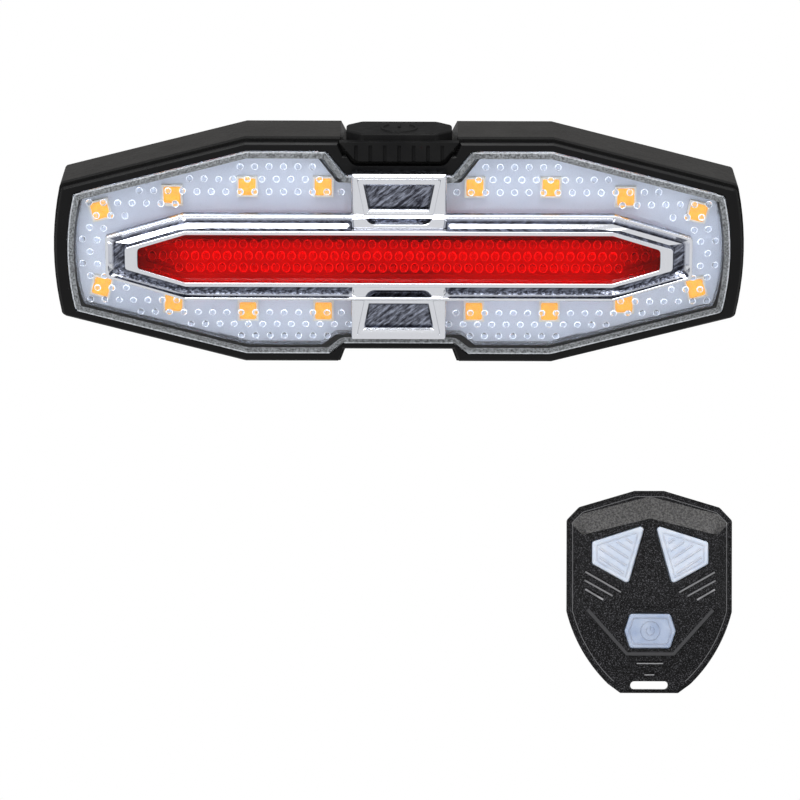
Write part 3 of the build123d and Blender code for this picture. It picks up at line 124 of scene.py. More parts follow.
def add_roughness(tree, shader, place, size_mm, low, high):
    """Patches that are a little more or less shiny, from handling and moulding."""
    noise = add_node(tree, "ShaderNodeTexNoise", {"Scale": 1 / size_mm, "Detail": 4.0},
                     [("Vector", place, "Vector")])
    span = add_node(tree, "ShaderNodeMapRange",
                    {"From Min": 0.35, "From Max": 0.65, "To Min": low, "To Max": high},
                    [("Value", noise, "Fac")])
    tree.links.new(span.outputs["Result"], shader.inputs["Roughness"])


def even_finish(name, settings, code, grain, tone=None, shine=None):
    """Material that is the same all over: grain (mm, depth, strength), tone (mm, low, high), shine (mm, low, high)."""
    material, tree, shader = new_material(name, settings, code)
    place, _ = add_grain(tree, shader, *grain)
    if tone:
        add_tone(tree, shader, place, *tone)
    if shine:
        add_roughness(tree, shader, place, *shine)
    return material


def nylon_housing():
    """Glass-filled nylon from a textured mould: dark grey, fine grain, with painted shade: nearly black in a strip
    behind the rim, where the groove to the bezel lies in shadow.
    """
    shade_strip_front, shade_strip_back = 3.3, 3.5
    material, tree, shader = new_material(
        "nylon_housing", {"Roughness": 0.5, "IOR": 1.53, "Specular IOR Level": 0.2}, "2b2a29")
    place, _ = add_grain(tree, shader, 0.3, 0.05, 0.8)
    add_tone(tree, shader, place, 5.0, "262524", "2c2b2a")
    add_roughness(tree, shader, place, 0.8, 0.5, 0.62)
    # Painted shade: the housing is painted nearly black in a strip just behind the rim
    depth = add_node(tree, "ShaderNodeSeparateXYZ", {}, [("Vector", place, "Vector")])
    in_painted_shade = add_node(tree, "ShaderNodeMapRange",
                        {"From Min": RIM_Y + shade_strip_back, "From Max": RIM_Y + shade_strip_front},
                        [("Value", depth, "Y")])
    tone = add_node(tree, "ShaderNodeMix", {"data_type": "RGBA"}, [("Factor", in_painted_shade, "Result")])
    tree.links.new(shader.inputs["Base Color"].links[0].from_socket, tone.inputs[6])
    tone.inputs[7].default_value = linear("040404")
    tree.links.new(tone.outputs[2], shader.inputs["Base Color"])
    return material


def red_acrylic():
    """Clear red acrylic, matched to a low gloss, with painted shade: its red is painted deeper towards its upper edge
    and its pointed ends.
    """
    material, tree, shader = new_material(
        "red_acrylic", {"Roughness": 0.06, "IOR": 1.2, "Transmission Weight": 1.0}, "ff1209")
    place, _ = add_grain(tree, shader, 5.0, 0.02, 0.1, 1.0)
    spot = add_node(tree, "ShaderNodeSeparateXYZ", {}, [("Vector", place, "Vector")])
    # Painted shade: darker red towards the upper edge and towards the pointed ends
    high = add_node(tree, "ShaderNodeMapRange", {"From Min": 1.7, "From Max": 3.6}, [("Value", spot, "Z")])
    sideways = add_node(tree, "ShaderNodeMath", {"operation": "ABSOLUTE"}, [(0, spot, "X")])
    painted_end_shade = add_node(tree, "ShaderNodeMapRange", {"From Min": 34.0, "From Max": 43.0, "To Max": 0.8},
                   [("Value", sideways, "Value")])
    share = add_node(tree, "ShaderNodeMath", {"operation": "MAXIMUM"}, [(0, high, "Result"), (1, painted_end_shade, "Result")])
    ramp = add_node(tree, "ShaderNodeValToRGB", {}, [("Fac", share, "Value")])
    ramp.color_ramp.elements[0].color = linear("ff1209")
    ramp.color_ramp.elements[1].color = linear("8a0a05")
    tree.links.new(ramp.outputs["Color"], shader.inputs["Base Color"])
    return material


def chrome_plating(name, recess_front, streak_mm):
    """Chrome plated on plastic: soft mirror on the raised faces; in the recesses, painted shade in a dark speckled
    colour, with a rougher, bumpier finish.
    """
    blend_depth, lean = 0.4, math.radians(-38)
    material, tree, shader = new_material(name, {"Roughness": 0.16, "Metallic": 1.0}, "e6e8ee")
    place = object_place(tree)
    depth = add_node(tree, "ShaderNodeSeparateXYZ", {}, [("Vector", place, "Vector")])
    recess_shade = add_node(tree, "ShaderNodeMapRange",
                      {"From Min": RIM_Y + recess_front - blend_depth, "From Max": RIM_Y + recess_front},
                      [("Value", depth, "Y")])
    slanted = add_node(tree, "ShaderNodeMapping",
                       {"vector_type": "TEXTURE", "Rotation": (0, lean, 0), "Scale": streak_mm},
                       [("Vector", place, "Vector")])
    speckle = add_node(tree, "ShaderNodeTexNoise", {"Scale": 1.0, "Detail": 5.0, "Roughness": 0.66},
                       [("Vector", slanted, "Vector")])
    # Painted shade: the recesses take a dark speckled colour in place of the mirror's pale one
    ramp = add_node(tree, "ShaderNodeValToRGB", {}, [("Fac", speckle, "Fac")])
    ramp.color_ramp.elements[0].position = 0.42
    ramp.color_ramp.elements[0].color = linear("34353e")
    ramp.color_ramp.elements[1].position = 0.68
    ramp.color_ramp.elements[1].color = linear("b4bacc")
    tone = add_node(tree, "ShaderNodeMix", {"data_type": "RGBA"}, [("Factor", recess_shade, "Result")])
    tone.inputs[6].default_value = linear("e6e8ee")
    tree.links.new(ramp.outputs["Color"], tone.inputs[7])
    tree.links.new(tone.outputs[2], shader.inputs["Base Color"])
    strength = add_node(tree, "ShaderNodeMapRange", {"To Min": 0.22, "To Max": 0.8}, [("Value", recess_shade, "Result")])
    bump = add_node(tree, "ShaderNodeBump", {"Distance": 0.03 * MM},
                    [("Height", speckle, "Fac"), ("Strength", strength, "Result")])
    tree.links.new(bump.outputs["Normal"], shader.inputs["Normal"])
    rough = add_node(tree, "ShaderNodeMapRange", {"To Min": 0.13, "To Max": 0.26}, [("Value", recess_shade, "Result")])
    tree.links.new(rough.outputs["Result"], shader.inputs["Roughness"])
    return material


def pillow_finish(name, code, settings, rim_code):
    """Clear optics with a painted glint: on their steep flanks a pale shader that glows is mixed in, brightest at their
    left and right.
    """
    material, tree, shader = new_material(name, settings, code)
    flank = add_node(tree, "ShaderNodeLayerWeight", {"Blend": 0.5})
    steep = add_node(tree, "ShaderNodeMapRange", {"From Min": 0.3, "From Max": 0.75}, [("Value", flank, "Facing")])
    shape = add_node(tree, "ShaderNodeNewGeometry")
    split = add_node(tree, "ShaderNodeSeparateXYZ", {}, [("Vector", shape, "Normal")])
    sideways = add_node(tree, "ShaderNodeMath", {"operation": "ABSOLUTE"}, [(0, split, "X")])
    share = add_node(tree, "ShaderNodeMapRange", {"From Max": 0.6, "To Min": 0.3, "To Max": 1.0},
                     [("Value", sideways, "Value")])
    factor = add_node(tree, "ShaderNodeMath", {"operation": "MULTIPLY"},
                      [(0, steep, "Result"), (1, share, "Result")])
    # Painted glint: a pale shader that glows, mixed in by the steepness and sideways turn of the face
    rim = add_node(tree, "ShaderNodeBsdfPrincipled",
                   {"Base Color": linear(rim_code), "Roughness": 0.35,
                    "Emission Color": linear(rim_code), "Emission Strength": 0.8})
    mix = add_node(tree, "ShaderNodeMixShader", {}, [(0, factor, "Value"), (1, shader, "BSDF"), (2, rim, "BSDF")])
    tree.links.new(mix.outputs["Shader"], tree.nodes["Material Output"].inputs["Surface"])
    return material


def remote_shell():
    """Black shell with a spark-eroded texture, with painted light: faces turned to the sky are painted greyer, and
    small spots are painted pale as glints.
    """
    material, tree, shader = new_material(
        "remote_shell", {"Roughness": 0.45, "IOR": 1.53, "Specular IOR Level": 0.12}, "0e0e10")
    place, grain = add_grain(tree, shader, 0.3, 0.07, 1.0, 2.0)
    shape = add_node(tree, "ShaderNodeNewGeometry")
    split = add_node(tree, "ShaderNodeSeparateXYZ", {}, [("Vector", shape, "True Normal")])
    # Painted light: faces turned to the sky are painted greyer, a sheen set in the colour
    upward = add_node(tree, "ShaderNodeMapRange", {"From Min": 0.5, "From Max": 0.62}, [("Value", split, "Z")])
    sparkle = add_node(tree, "ShaderNodeMapRange", {"From Min": 0.42, "From Max": 0.62, "To Min": 0.35},
                       [("Value", grain, "Fac")])
    pale = add_node(tree, "ShaderNodeMath", {"operation": "MULTIPLY"},
                    [(0, upward, "Result"), (1, sparkle, "Result")])
    ramp = add_node(tree, "ShaderNodeValToRGB", {}, [("Fac", pale, "Value")])
    ramp.color_ramp.elements[0].color = linear("050506")
    ramp.color_ramp.elements[1].color = linear("5e5d5c")
    # Painted glints: small spots of the shell painted pale
    glint = add_node(tree, "ShaderNodeTexNoise", {"Scale": 1 / 0.17, "Detail": 1.0}, [("Vector", place, "Vector")])
    painted_glints = add_node(tree, "ShaderNodeMapRange", {"From Min": 0.52, "From Max": 0.8}, [("Value", glint, "Fac")])
    tone = add_node(tree, "ShaderNodeMix", {"data_type": "RGBA"}, [("Factor", painted_glints, "Result")])
    tree.links.new(ramp.outputs["Color"], tone.inputs[6])
    tone.inputs[7].default_value = linear("5c5c60")
    tree.links.new(tone.outputs[2], shader.inputs["Base Color"])
    add_roughness(tree, shader, place, 0.4, 0.34, 0.5)
    return material


def pale_silicone(name, low, high):
    """Translucent pale silicone keys: cool bluish white, light spreads inside them."""
    settings = {"Roughness": 0.4, "IOR": 1.43, "Subsurface Weight": 0.35, "Subsurface Scale": 0.002,
                "Subsurface Radius": (0.8, 1.0, 1.2)}
    return even_finish(name, settings, high, (0.5, 0.02, 0.25), (2.2, low, high))


def painted_highlight(name, code):
    """The black plastic of the remote, polished, in a paler colour that paints a highlight on its raised lines."""
    return even_finish(name, {"Roughness": 0.3, "IOR": 1.6}, code, (0.4, 0.02, 0.4))


def painted_lens_edge(name, low, high):
    """Painted light and shade around the edge of the clear lens: a streaked colour between a dark and a pale value."""
    return even_finish(name, {"Roughness": 0.35, "IOR": 1.5}, high, (0.4, 0.05, 0.7), (0.3, low, high))


finishes = {
    # Moulded polycarbonate blend, polished: near black with a clean soft shine
    "black_gloss": even_finish("glossy_bezel", {"Roughness": 0.3, "IOR": 1.55, "Specular IOR Level": 0.15}, "080809",
                               (0.8, 0.01, 0.25), (9.0, "060607", "0b0b0c"), (3.0, 0.26, 0.38)),
    "housing_black": nylon_housing(),
    # Clear polycarbonate, injection moulded: sharp reflections and a slightly cool body
    "clear_plastic": even_finish("clear_polycarbonate", {"Roughness": 0.02, "IOR": 1.5, "Transmission Weight": 1.0},
                                 "f4f8ff", (7.0, 0.02, 0.12, 1.0)),
    "red_clear": red_acrylic(),
    "chrome_plated": chrome_plating("bright_chrome", -2.15, (2.4, 1.0, 0.5)),
    # Black silicone rubber from a satin mould: soft broad highlights, very fine grain
    "button_rubber": even_finish("silicone_rubber", {"Roughness": 0.6, "IOR": 1.43, "Specular IOR Level": 0.15},
                                 "121213", (0.18, 0.02, 0.5), (3.0, "0f0f10", "161616"), (1.5, 0.48, 0.64)),
    # Matt black rubber with a dusty bloom
    "seal_rubber": even_finish("seal_rubber_black", {"Roughness": 0.8, "IOR": 1.5}, "1d1d1e",
                               (0.4, 0.04, 0.6), (5.0, "19191a", "262627")),
    # Translucent grey silicone bead, cloudy, as it looks through the rim of the lens
    "seal_pale": even_finish("pale_seal", {"Roughness": 0.5, "IOR": 1.43}, "8d8f92",
                             (0.5, 0.06, 0.8), (0.7, "55575a", "c2c5ca")),
    # White lacquer on a lamp board: flat, cool white with a slight shine
    "white_mask": even_finish("white_solder_mask", {"Roughness": 0.4, "IOR": 1.5}, "dfe4ee",
                              (0.5, 0.01, 0.2), (12.0, "d8deea", "e6eaf2")),
    # Green lacquer on a circuit board, with a slight orange-peel shine
    "board_green": even_finish("green_solder_mask", {"Roughness": 0.3, "IOR": 1.5}, "12472a",
                               (0.6, 0.02, 0.3), (4.0, "0e3c22", "165233")),
    # White moulded frame of a lamp package, satin and slightly warm
    "amber_lamp": even_finish("lamp_frame", {"Roughness": 0.5, "IOR": 1.5}, "f3ecdc",
                              (0.3, 0.01, 0.3), (1.5, "efe4cc", "f6f2e8")),
    # Red lamp package: the phosphor gel looks pale red, a little waxy
    "red_lamp": even_finish("red_phosphor", {"Roughness": 0.35, "IOR": 1.41}, "e8442e",
                            (0.25, 0.02, 0.4), (0.8, "d83421", "ee6a50")),
    # Black epoxy of chips and connectors, matt
    "chip_black": even_finish("chip_resin", {"Roughness": 0.6, "IOR": 1.55}, "202022",
                              (0.3, 0.02, 0.4), (2.0, "1b1b1d", "28282a")),
    # Nickel-plated sheet steel, bright and a little uneven in shine
    "steel": even_finish("nickel_steel", {"Roughness": 0.25, "Metallic": 1.0}, "c9c8c4",
                         (0.5, 0.01, 0.3), shine=(1.0, 0.18, 0.34)),
    # Steel screws with black zinc plating, slightly worn
    "steel_black": even_finish("zinc_steel", {"Roughness": 0.38, "Metallic": 1.0}, "3c3c3e",
                               (0.3, 0.02, 0.4), (0.9, "313133", "4c4c4f")),
    # Silver laminate pouch of a flat cell, slightly creased
    "cell_wrap": even_finish("cell_foil", {"Roughness": 0.3, "Metallic": 1.0}, "b9bcc2",
                             (4.0, 0.2, 0.5), shine=(3.0, 0.24, 0.4)),
    # Grey closed-cell foam with open pores at its cut edges
    "foam_grey": even_finish("cell_foam", {"Roughness": 0.9, "IOR": 1.5}, "4a4a4c", (0.6, 0.2, 0.8)),
    # Phosphor bronze strip, warm and slightly dull
    "spring_bronze": even_finish("spring_bronze", {"Roughness": 0.3, "Metallic": 1.0}, "c08f52",
                                 (0.5, 0.01, 0.3), (1.5, "b58249", "cb9d62")),
    "remote_black": remote_shell(),
    "key_rubber": pale_silicone("pale_silicone", "bac6da", "ccd4e2"),
}
deep_silicone = pale_silicone("deep_silicone", "92a0ba", "a9b4c8")
# Painted shade: chrome that is dark and speckled all over, for the lower flanks of the ring's groove
shaded_speckled_chrome = chrome_plating("shaded_speckled_chrome", -9.0, (0.45, 0.45, 0.45))
# Yellow phosphor gel poured in a lamp package: deep amber, a little waxy, with a painted glow though the lamp is not
# lit
amber_phosphor = even_finish(
    "phosphor", {"Roughness": 0.45, "IOR": 1.41, "Subsurface Weight": 0.2,
                 "Emission Color": linear("ffa800"), "Emission Strength": 0.45},
    "ffb400", (0.25, 0.02, 0.4), (1.0, "ffa800", "ffc400"))

for name, node in nodes.items():
    node.data.materials.clear()
    node.data.materials.append(finishes[slot_of[name]])
nodes["mode_button"].data.materials[0] = deep_silicone


def made_plain(piece):
    """Turns a piece into the mesh that its modifiers make of it, and takes them off."""
    graph = bpy.context.evaluated_depsgraph_get()
    solid = bpy.data.meshes.new_from_object(piece.evaluated_get(graph))
    piece.modifiers.clear()
    piece.data = solid


def piece_from(name, form, carrier, material=None):
    """Mesh piece in metres that rides on the body of the solid that carries it and takes its slot."""
    verts, faces = form
    mesh = bpy.data.meshes.new(name)
    mesh.from_pydata(verts, [], faces)
    mesh.materials.append(material or finishes[slot_of[carrier]])
    piece = bpy.data.objects.new(name, mesh)
    bpy.context.collection.objects.link(piece)
    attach(piece, body_of[carrier])


def loft(turned, outline, levels):
    """Closed form from one outline drawn at several (share of its size, height) levels."""
    verts = [turned @ (Vector((x * share, y * share, height)) * MM) for share, height in levels for x, y in outline]
    count = len(outline)
    faces = [tuple(reversed(range(count))), tuple(range(len(verts) - count, len(verts)))]
    for level in range(len(levels) - 1):
        for place in range(count):
            after = (place + 1) % count
            faces.append((level * count + place, level * count + after,
                          (level + 1) * count + after, (level + 1) * count + place))
    return verts, faces


def band(turned, path, width, height, closed=False, sunk=0.03, ground=None):
    """Raised line with sloping flanks along a path on a face; ground gives the face's level at a point."""
    foot, crest = 0.5, 0.3
    verts, faces, count = [], [], len(path)
    for place, point in enumerate(path):
        before = path[place - 1] if place or closed else point
        after = path[(place + 1) % count] if place < count - 1 or closed else point
        along = (Vector(after) - Vector(before)).normalized()
        across = Vector((-along.y, along.x))
        level = ground(point) if ground else 0.0
        for side, lift in ((-foot, -sunk), (-crest, height), (crest, height), (foot, -sunk)):
            spot = Vector(point) + across * width * side
            verts.append(turned @ (Vector((spot.x, spot.y, level + lift)) * MM))
    for place in range(count if closed else count - 1):
        after = (place + 1) % count
        for corner in range(4):
            turn = (corner + 1) % 4
            faces.append((place * 4 + corner, place * 4 + turn, after * 4 + turn, after * 4 + corner))
    if not closed:
        faces += [(0, 1, 2, 3), tuple(reversed(range(count * 4 - 4, count * 4)))]
    return verts, faces


def joined(forms):
    """Corners and faces of several forms as one form."""
    verts, faces = [], []
    for form_verts, form_faces in forms:
        faces += [tuple(corner + len(verts) for corner in face) for face in form_faces]
        verts += form_verts
    return verts, faces


def arc(radius, start, end, steps, centre=(0, 0)):
    """Points of an arc, in degrees from +X."""
    return [(centre[0] + radius * math.cos(math.radians(start + (end - start) * step / steps)),
             centre[1] + radius * math.sin(math.radians(start + (end - start) * step / steps)))
            for step in range(steps + 1)]


def power_mark(turned, radius, width, height):
    """The usual power sign: a ring open at the top with a bar in the gap."""
    ring = band(turned, arc(radius, 130, 410, 28), width, height)
    bar = band(turned, [(0, radius * 0.15), (0, radius * 1.1)], width, height)
    return [ring, bar]


def frame_on(place, right, outward):
    """Matrix whose x axis runs right and whose z axis points out of a face."""
    up = outward.cross(right)
    return Matrix.Translation(place) @ Matrix((right, up, outward)).transposed().to_4x4()


def islands(mesh):
    """Corner points of each separate solid of a mesh, in the same order each time."""
    shape = bmesh.new()
    shape.from_mesh(mesh)
    bmesh.ops.remove_doubles(shape, verts=shape.verts, dist=0.001 * MM)
    reached, groups = set(), []
    for first in shape.verts:
        if first in reached:
            continue
        reached.add(first)
        group, ahead = [], [first]
        while ahead:
            vert = ahead.pop()
            group.append(vert.co.copy())
            for edge in vert.link_edges:
                other = edge.other_vert(vert)
                if other not in reached:
                    reached.add(other)
                    ahead.append(other)
        groups.append(group)
    shape.free()
    return groups


# Amber lamps: a pale frame with a cushion of phosphor that nearly fills it
PHOSPHOR_HALF, PHOSPHOR_ROUNDING = 1.38, 0.45
PHOSPHOR_LEVELS = ((1, -0.33), (1, -0.02), (0.94, 0.05), (0.7, 0.09))
FLAT_FACE = 0.01
front = Vector((0, -1, 0))
corners = [(PHOSPHOR_HALF - PHOSPHOR_ROUNDING) * side for side in (1, -1)]
cushion = []
for quarter, (x_side, z_side) in enumerate(((0, 0), (1, 0), (1, 1), (0, 1))):
    start = 90 * quarter
    cushion += arc(PHOSPHOR_ROUNDING, start, start + 90, 4, (corners[x_side], corners[z_side]))
for name in ("amber_chips_left", "amber_chips_right"):
    cushions = []
    for points in islands(nodes[name].data):
        centre = sum(points, Vector()) / len(points)
        face_y = min(point.y for point in points)
        flat = [(point.x, point.z) for point in points if point.y < face_y + FLAT_FACE * MM]
        hull = [Vector(flat[place]) for place in convex_hull_2d(flat)]
        sides = [hull[place] - hull[place - 1] for place in range(len(hull))]
        longest = max(sides, key=lambda side: side.length)
        turn = (math.atan2(longest.y, longest.x) + math.pi / 4) % (math.pi / 2) - math.pi / 4
        turned = frame_on(Vector((centre.x, face_y, centre.z)), Vector((math.cos(turn), 0, math.sin(turn))), front)
        cushions.append(loft(turned, cushion, PHOSPHOR_LEVELS))
    piece_from(name + "_phosphor", joined(cushions), name, amber_phosphor)

# Pillow optics in the two lenses
PILLOW_SIZES = ("Half Width", "Half Height", "Depth", "Standoff")
PILLOW_SEGMENTS, PILLOW_RINGS = 12, 6
PILLOW_MARGIN = 0.8
PILLOW_REACH = 8


def pillow_tree():
    """Geometry Nodes: one small lens on each point, turned to the face that it grows from."""
    tree = bpy.data.node_groups.new("pillow_optics", "GeometryNodeTree")
    tree.interface.new_socket("Geometry", in_out="INPUT", socket_type="NodeSocketGeometry")
    for name in PILLOW_SIZES:
        tree.interface.new_socket(name, in_out="INPUT", socket_type="NodeSocketFloat")
    tree.interface.new_socket("Segments", in_out="INPUT", socket_type="NodeSocketInt")
    tree.interface.new_socket("Finish", in_out="INPUT", socket_type="NodeSocketMaterial")
    tree.interface.new_socket("Geometry", in_out="OUTPUT", socket_type="NodeSocketGeometry")
    given = add_node(tree, "NodeGroupInput")
    ball = add_node(tree, "GeometryNodeMeshUVSphere", {"Rings": PILLOW_RINGS, "Radius": 1.0},
                    [("Segments", given, "Segments")])
    sizes = add_node(tree, "ShaderNodeCombineXYZ", {},
                     [("X", given, "Half Width"), ("Y", given, "Half Height"), ("Z", given, "Depth")])
    lens = add_node(tree, "GeometryNodeTransform", {}, [("Geometry", ball, "Mesh"), ("Scale", sizes, "Vector")])
    facing = add_node(tree, "GeometryNodeInputNamedAttribute", {"data_type": "FLOAT_VECTOR", "Name": "facing"})
    lift = add_node(tree, "ShaderNodeVectorMath", {"operation": "SCALE"},
                    [("Vector", facing, "Attribute"), ("Scale", given, "Standoff")])
    lifted = add_node(tree, "GeometryNodeSetPosition", {},
                      [("Geometry", given, "Geometry"), ("Offset", lift, "Vector")])
    turn = add_node(tree, "FunctionNodeAlignRotationToVector", {"axis": "Z"}, [("Vector", facing, "Attribute")])
    placed = add_node(tree, "GeometryNodeInstanceOnPoints", {},
                      [("Points", lifted, "Geometry"), ("Instance", lens, "Geometry"), ("Rotation", turn, "Rotation")])
    real = add_node(tree, "GeometryNodeRealizeInstances", {}, [("Geometry", placed, "Instances")])
    smooth = add_node(tree, "GeometryNodeSetShadeSmooth", {}, [("Geometry", real, "Geometry")])
    done = add_node(tree, "GeometryNodeSetMaterial", {},
                    [("Geometry", smooth, "Geometry"), ("Material", given, "Finish")])
    add_node(tree, "NodeGroupOutput", {}, [("Geometry", done, "Geometry")])
    return tree


def surface(node):
    """Search tree of a solid's surface, for casting rays at it."""
    mesh = nodes[node].data
    return BVHTree.FromPolygons([vert.co for vert in mesh.vertices],
                                [tuple(face.vertices) for face in mesh.polygons])


def staggered(pitch_x, pitch_z, columns, rows, shifted):
    """Spots of a lattice in which the even (0) or the odd (1) rows are shifted by half a pitch."""
    return [(pitch_x * (column + (0.5 if row % 2 == shifted else 0.0)), pitch_z * row)
            for row in range(-rows, rows + 1) for column in range(-columns, columns + 1)]


def pillows(name, lens, spots, tilt_range, start_depth, sizes, finish):
    """Pillow optics on the inner face of a lens, wherever the face around a spot leans by the stated range."""
    inner = surface(lens)
    places, facings = [], []
    for x, z in spots:
        found = []
        for shift_x, shift_z in ((0, 0), (1, 0), (-1, 0), (0, 1), (0, -1)):
            start = Vector((x + PILLOW_MARGIN * shift_x, RIM_Y + start_depth, z + PILLOW_MARGIN * shift_z)) * MM
            place, normal, _, distance = inner.ray_cast(start, front)
            if place is None or not tilt_range[0] <= normal.y <= tilt_range[1] or distance > PILLOW_REACH * MM:
                break
            found.append((place, normal))
        else:
            places.append(found[0][0])
            facings.append(found[0][1])
    points = bpy.data.meshes.new(name)
    points.from_pydata(places, [], [])
    facing = points.attributes.new("facing", "FLOAT_VECTOR", "POINT")
    for place, value in enumerate(facings):
        facing.data[place].vector = value
    piece = bpy.data.objects.new(name, points)
    bpy.context.collection.objects.link(piece)
    grown = piece.modifiers.new("pillows", "NODES")
    grown.node_group = optics
    values = dict(zip(PILLOW_SIZES, [size * MM for size in sizes]))
    values.update({"Segments": PILLOW_SEGMENTS, "Finish": finish})
    for item in optics.interface.items_tree:
        if item.in_out == "INPUT" and item.name in values:
            grown[item.identifier] = values[item.name]
    made_plain(piece)
    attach(piece, body_of[lens])


optics = pillow_tree()
# Both pillow finishes carry a painted glint in their last colour
clear_optics = pillow_finish(
    "clear_pillows", "f4f8ff", {"Roughness": 0.03, "IOR": 1.45, "Transmission Weight": 1.0}, "f6f9ff")
pillows("clear_pillows", "clear_lens", staggered(2.355, 2.04, 24, 8, 0), (0.9, 0.9996), 3.6,
        (0.56, 0.56, 0.34, 0.38), clear_optics)
red_optics = pillow_finish(
    "red_pillows", "ff4030", {"Roughness": 0.05, "IOR": 1.4, "Transmission Weight": 1.0}, "ffffff")
pillows("red_pillows", "red_lens", staggered(1.75, 1.9, 25, 1, 1), (0.7, 1.0), 2.6,
        (0.66, 0.76, 0.36, 0.42), red_optics)

# Forms that follow the light's own outlines, found by probing the solids from the front
PROBE_START = -20
MARCH_STEPS, HALVINGS = 160, 10
SKIN = 0.06


def probe(node):
    """Function for the depth of a solid's front at a place; it gives None beside the solid."""
    shape = surface(node)

    def depth(x, z):
        place, _, _, _ = shape.ray_cast(Vector((x * MM, (RIM_Y + PROBE_START) * MM, z * MM)), Vector((0, 1, 0)))
        return place.y / MM - RIM_Y if place else None
    return depth


def edge_along(angle, start, end, inside):
    """Point between two distances from the middle where the test first holds, marching from start to end."""
    way = Vector((math.cos(angle), math.sin(angle)))
    before = start
    for step in range(MARCH_STEPS + 1):
        here = start + (end - start) * step / MARCH_STEPS
        if inside(*(way * here)):
            break
        before = here
    else:
        return None
    for _ in range(HALVINGS):
        middle = (before + here) / 2
        if inside(*(way * middle)):
            here = middle
        else:
            before = middle
    return tuple(way * here)


def drawn_in(path, place, inset):
    """Point of a closed path, which runs counterclockwise, moved to its inner side."""
    along = (Vector(path[(place + 1) % len(path)]) - Vector(path[place - 1])).normalized()
    return Vector(path[place]) + Vector((-along.y, along.x)) * inset


def strip(name, rows, carrier, material, closed=True):
    """Thin closed skin through rows of points given as (x, depth, z), from the outer row to the inner one."""
    verts, faces, count, around = [], [], len(rows), 2 * len(rows[0])
    for row in rows:
        verts += [Vector((x, RIM_Y + depth, z)) * MM for x, depth, z in row]
        verts += [Vector((x, RIM_Y + depth + SKIN, z)) * MM for x, depth, z in reversed(row)]
    for place in range(count if closed else count - 1):
        after = (place + 1) % count
        for corner in range(around):
            turn = (corner + 1) % around
            faces.append((place * around + corner, place * around + turn, after * around + turn,
                          after * around + corner))
    if not closed:
        faces += [tuple(range(around)), tuple(reversed(range(count * around - around, count * around)))]
    piece_from(name, (verts, faces), carrier, material)


# Border of the lens inside the opening of the bezel: a pale line as a painted highlight, then a streaked band of
# painted shade
LINE_INSETS = (0.1, 0.3, 0.55, 0.85, 1.15)
LINE_LIFT = 0.07
INNERMOST, OUTERMOST = 8.0, 60.0
bezel_depth, lens_depth, trim_depth = probe("front_bezel"), probe("clear_lens"), probe("chrome_trim")
angles = [math.tau * step / 1080 for step in range(1080)]
coarse_angles = angles[::3]
opening = [edge_along(angle, INNERMOST, OUTERMOST, lambda x, z: bezel_depth(x, z) is not None) for angle in angles]
border = []
for place in range(len(opening)):
    spots = [drawn_in(opening, place, inset) for inset in LINE_INSETS]
    border.append([(spot.x, (lens_depth(*spot) or 0.0) - LINE_LIFT, spot.y) for spot in spots])
# Painted highlight on the lens edge, then painted shade where the lens wall looks into the dark housing
strip("lens_rim_line", [row[:2] for row in border], "clear_lens", painted_lens_edge("rim_line", "8c9094", "c8ccd2"))
strip("lens_rim_wall_shade", [row[1:] for row in border], "clear_lens", painted_lens_edge("rim_wall_shade", "242527", "8f9397"))

# Flanks laid over the groove of the chrome ring: the upper ones face the sky and shine, the lower ones carry
# painted shade, dark speckled chrome. Each has its share of the groove's width, its depth at the outer edge and its
# depth at the inner one.
UPPER_FLANK, LOWER_FLANK = (0.62, -3.6, -4.02), (0.5, -3.9, -3.3)
GROOVE_LEVEL = -2.3
FRAME_HALF = 8.2
RING_MIDDLE, GROOVE_MIDDLE = 3.0, 2.0
BESIDE = 9


def in_groove(x, z):
    """Whether a place lies over the groove of the ring."""
    depth = trim_depth(x, z)
    return depth is not None and depth > GROOVE_LEVEL


for side, low, high, (share, outer_depth, inner_depth), chrome in (
        ("left", 98, 176.8, UPPER_FLANK, finishes["chrome_plated"]),
        ("right", 3.2, 82, UPPER_FLANK, finishes["chrome_plated"]),
        ("lower_left", 182.2, 262, LOWER_FLANK, shaded_speckled_chrome),
        ("lower_right", 278, 357.8, LOWER_FLANK, shaded_speckled_chrome)):
    slope = []
    for angle in angles:
        if not low < math.degrees(angle) < high:
            continue
        outer = edge_along(angle, OUTERMOST, RING_MIDDLE, lambda x, z: (trim_depth(x, z) or BESIDE) < GROOVE_LEVEL)
        start = edge_along(angle, Vector(outer).length - 0.05, RING_MIDDLE, in_groove) if outer else None
        if start is None or abs(start[0]) < FRAME_HALF:
            continue
        end = edge_along(angle, Vector(start).length - 0.1, GROOVE_MIDDLE, lambda x, z: not in_groove(x, z))
        if end is None:
            continue
        middle = Vector(start).lerp(Vector(end), share)
        slope.append([(start[0], outer_depth, start[1]), (middle.x, inner_depth, middle.y)])
    strip("ring_slope_" + side, slope, "chrome_trim", chrome, closed=False)

# Rolled chrome edges inside the two pockets of the frame, as (inset, depth) across the roll
POCKET_Z, POCKET_LIP = 9.8, -2.4
POCKET_START, POCKET_END = 0.6, 14.0
ROLL = ((-0.24, -2.9), (0.2, -2.87), (0.55, -2.72), (0.85, -2.35))
for name, pocket_z in (("upper", POCKET_Z), ("lower", -POCKET_Z)):
    def on_frame(x, z):
        """Whether a place, counted from the middle of the pocket, lies over its frame."""
        depth = trim_depth(x, z + pocket_z)
        return depth is None or depth < POCKET_LIP

    edge = [edge_along(angle, POCKET_START, POCKET_END, on_frame) for angle in coarse_angles]
    rows = []
    for place in range(len(edge)):
        spots = [(drawn_in(edge, place, inset), depth) for inset, depth in ROLL]
        rows.append([(spot.x, depth, spot.y + pocket_z) for spot, depth in spots])
    strip("pocket_edge_" + name, rows, "chrome_trim", finishes["chrome_plated"])

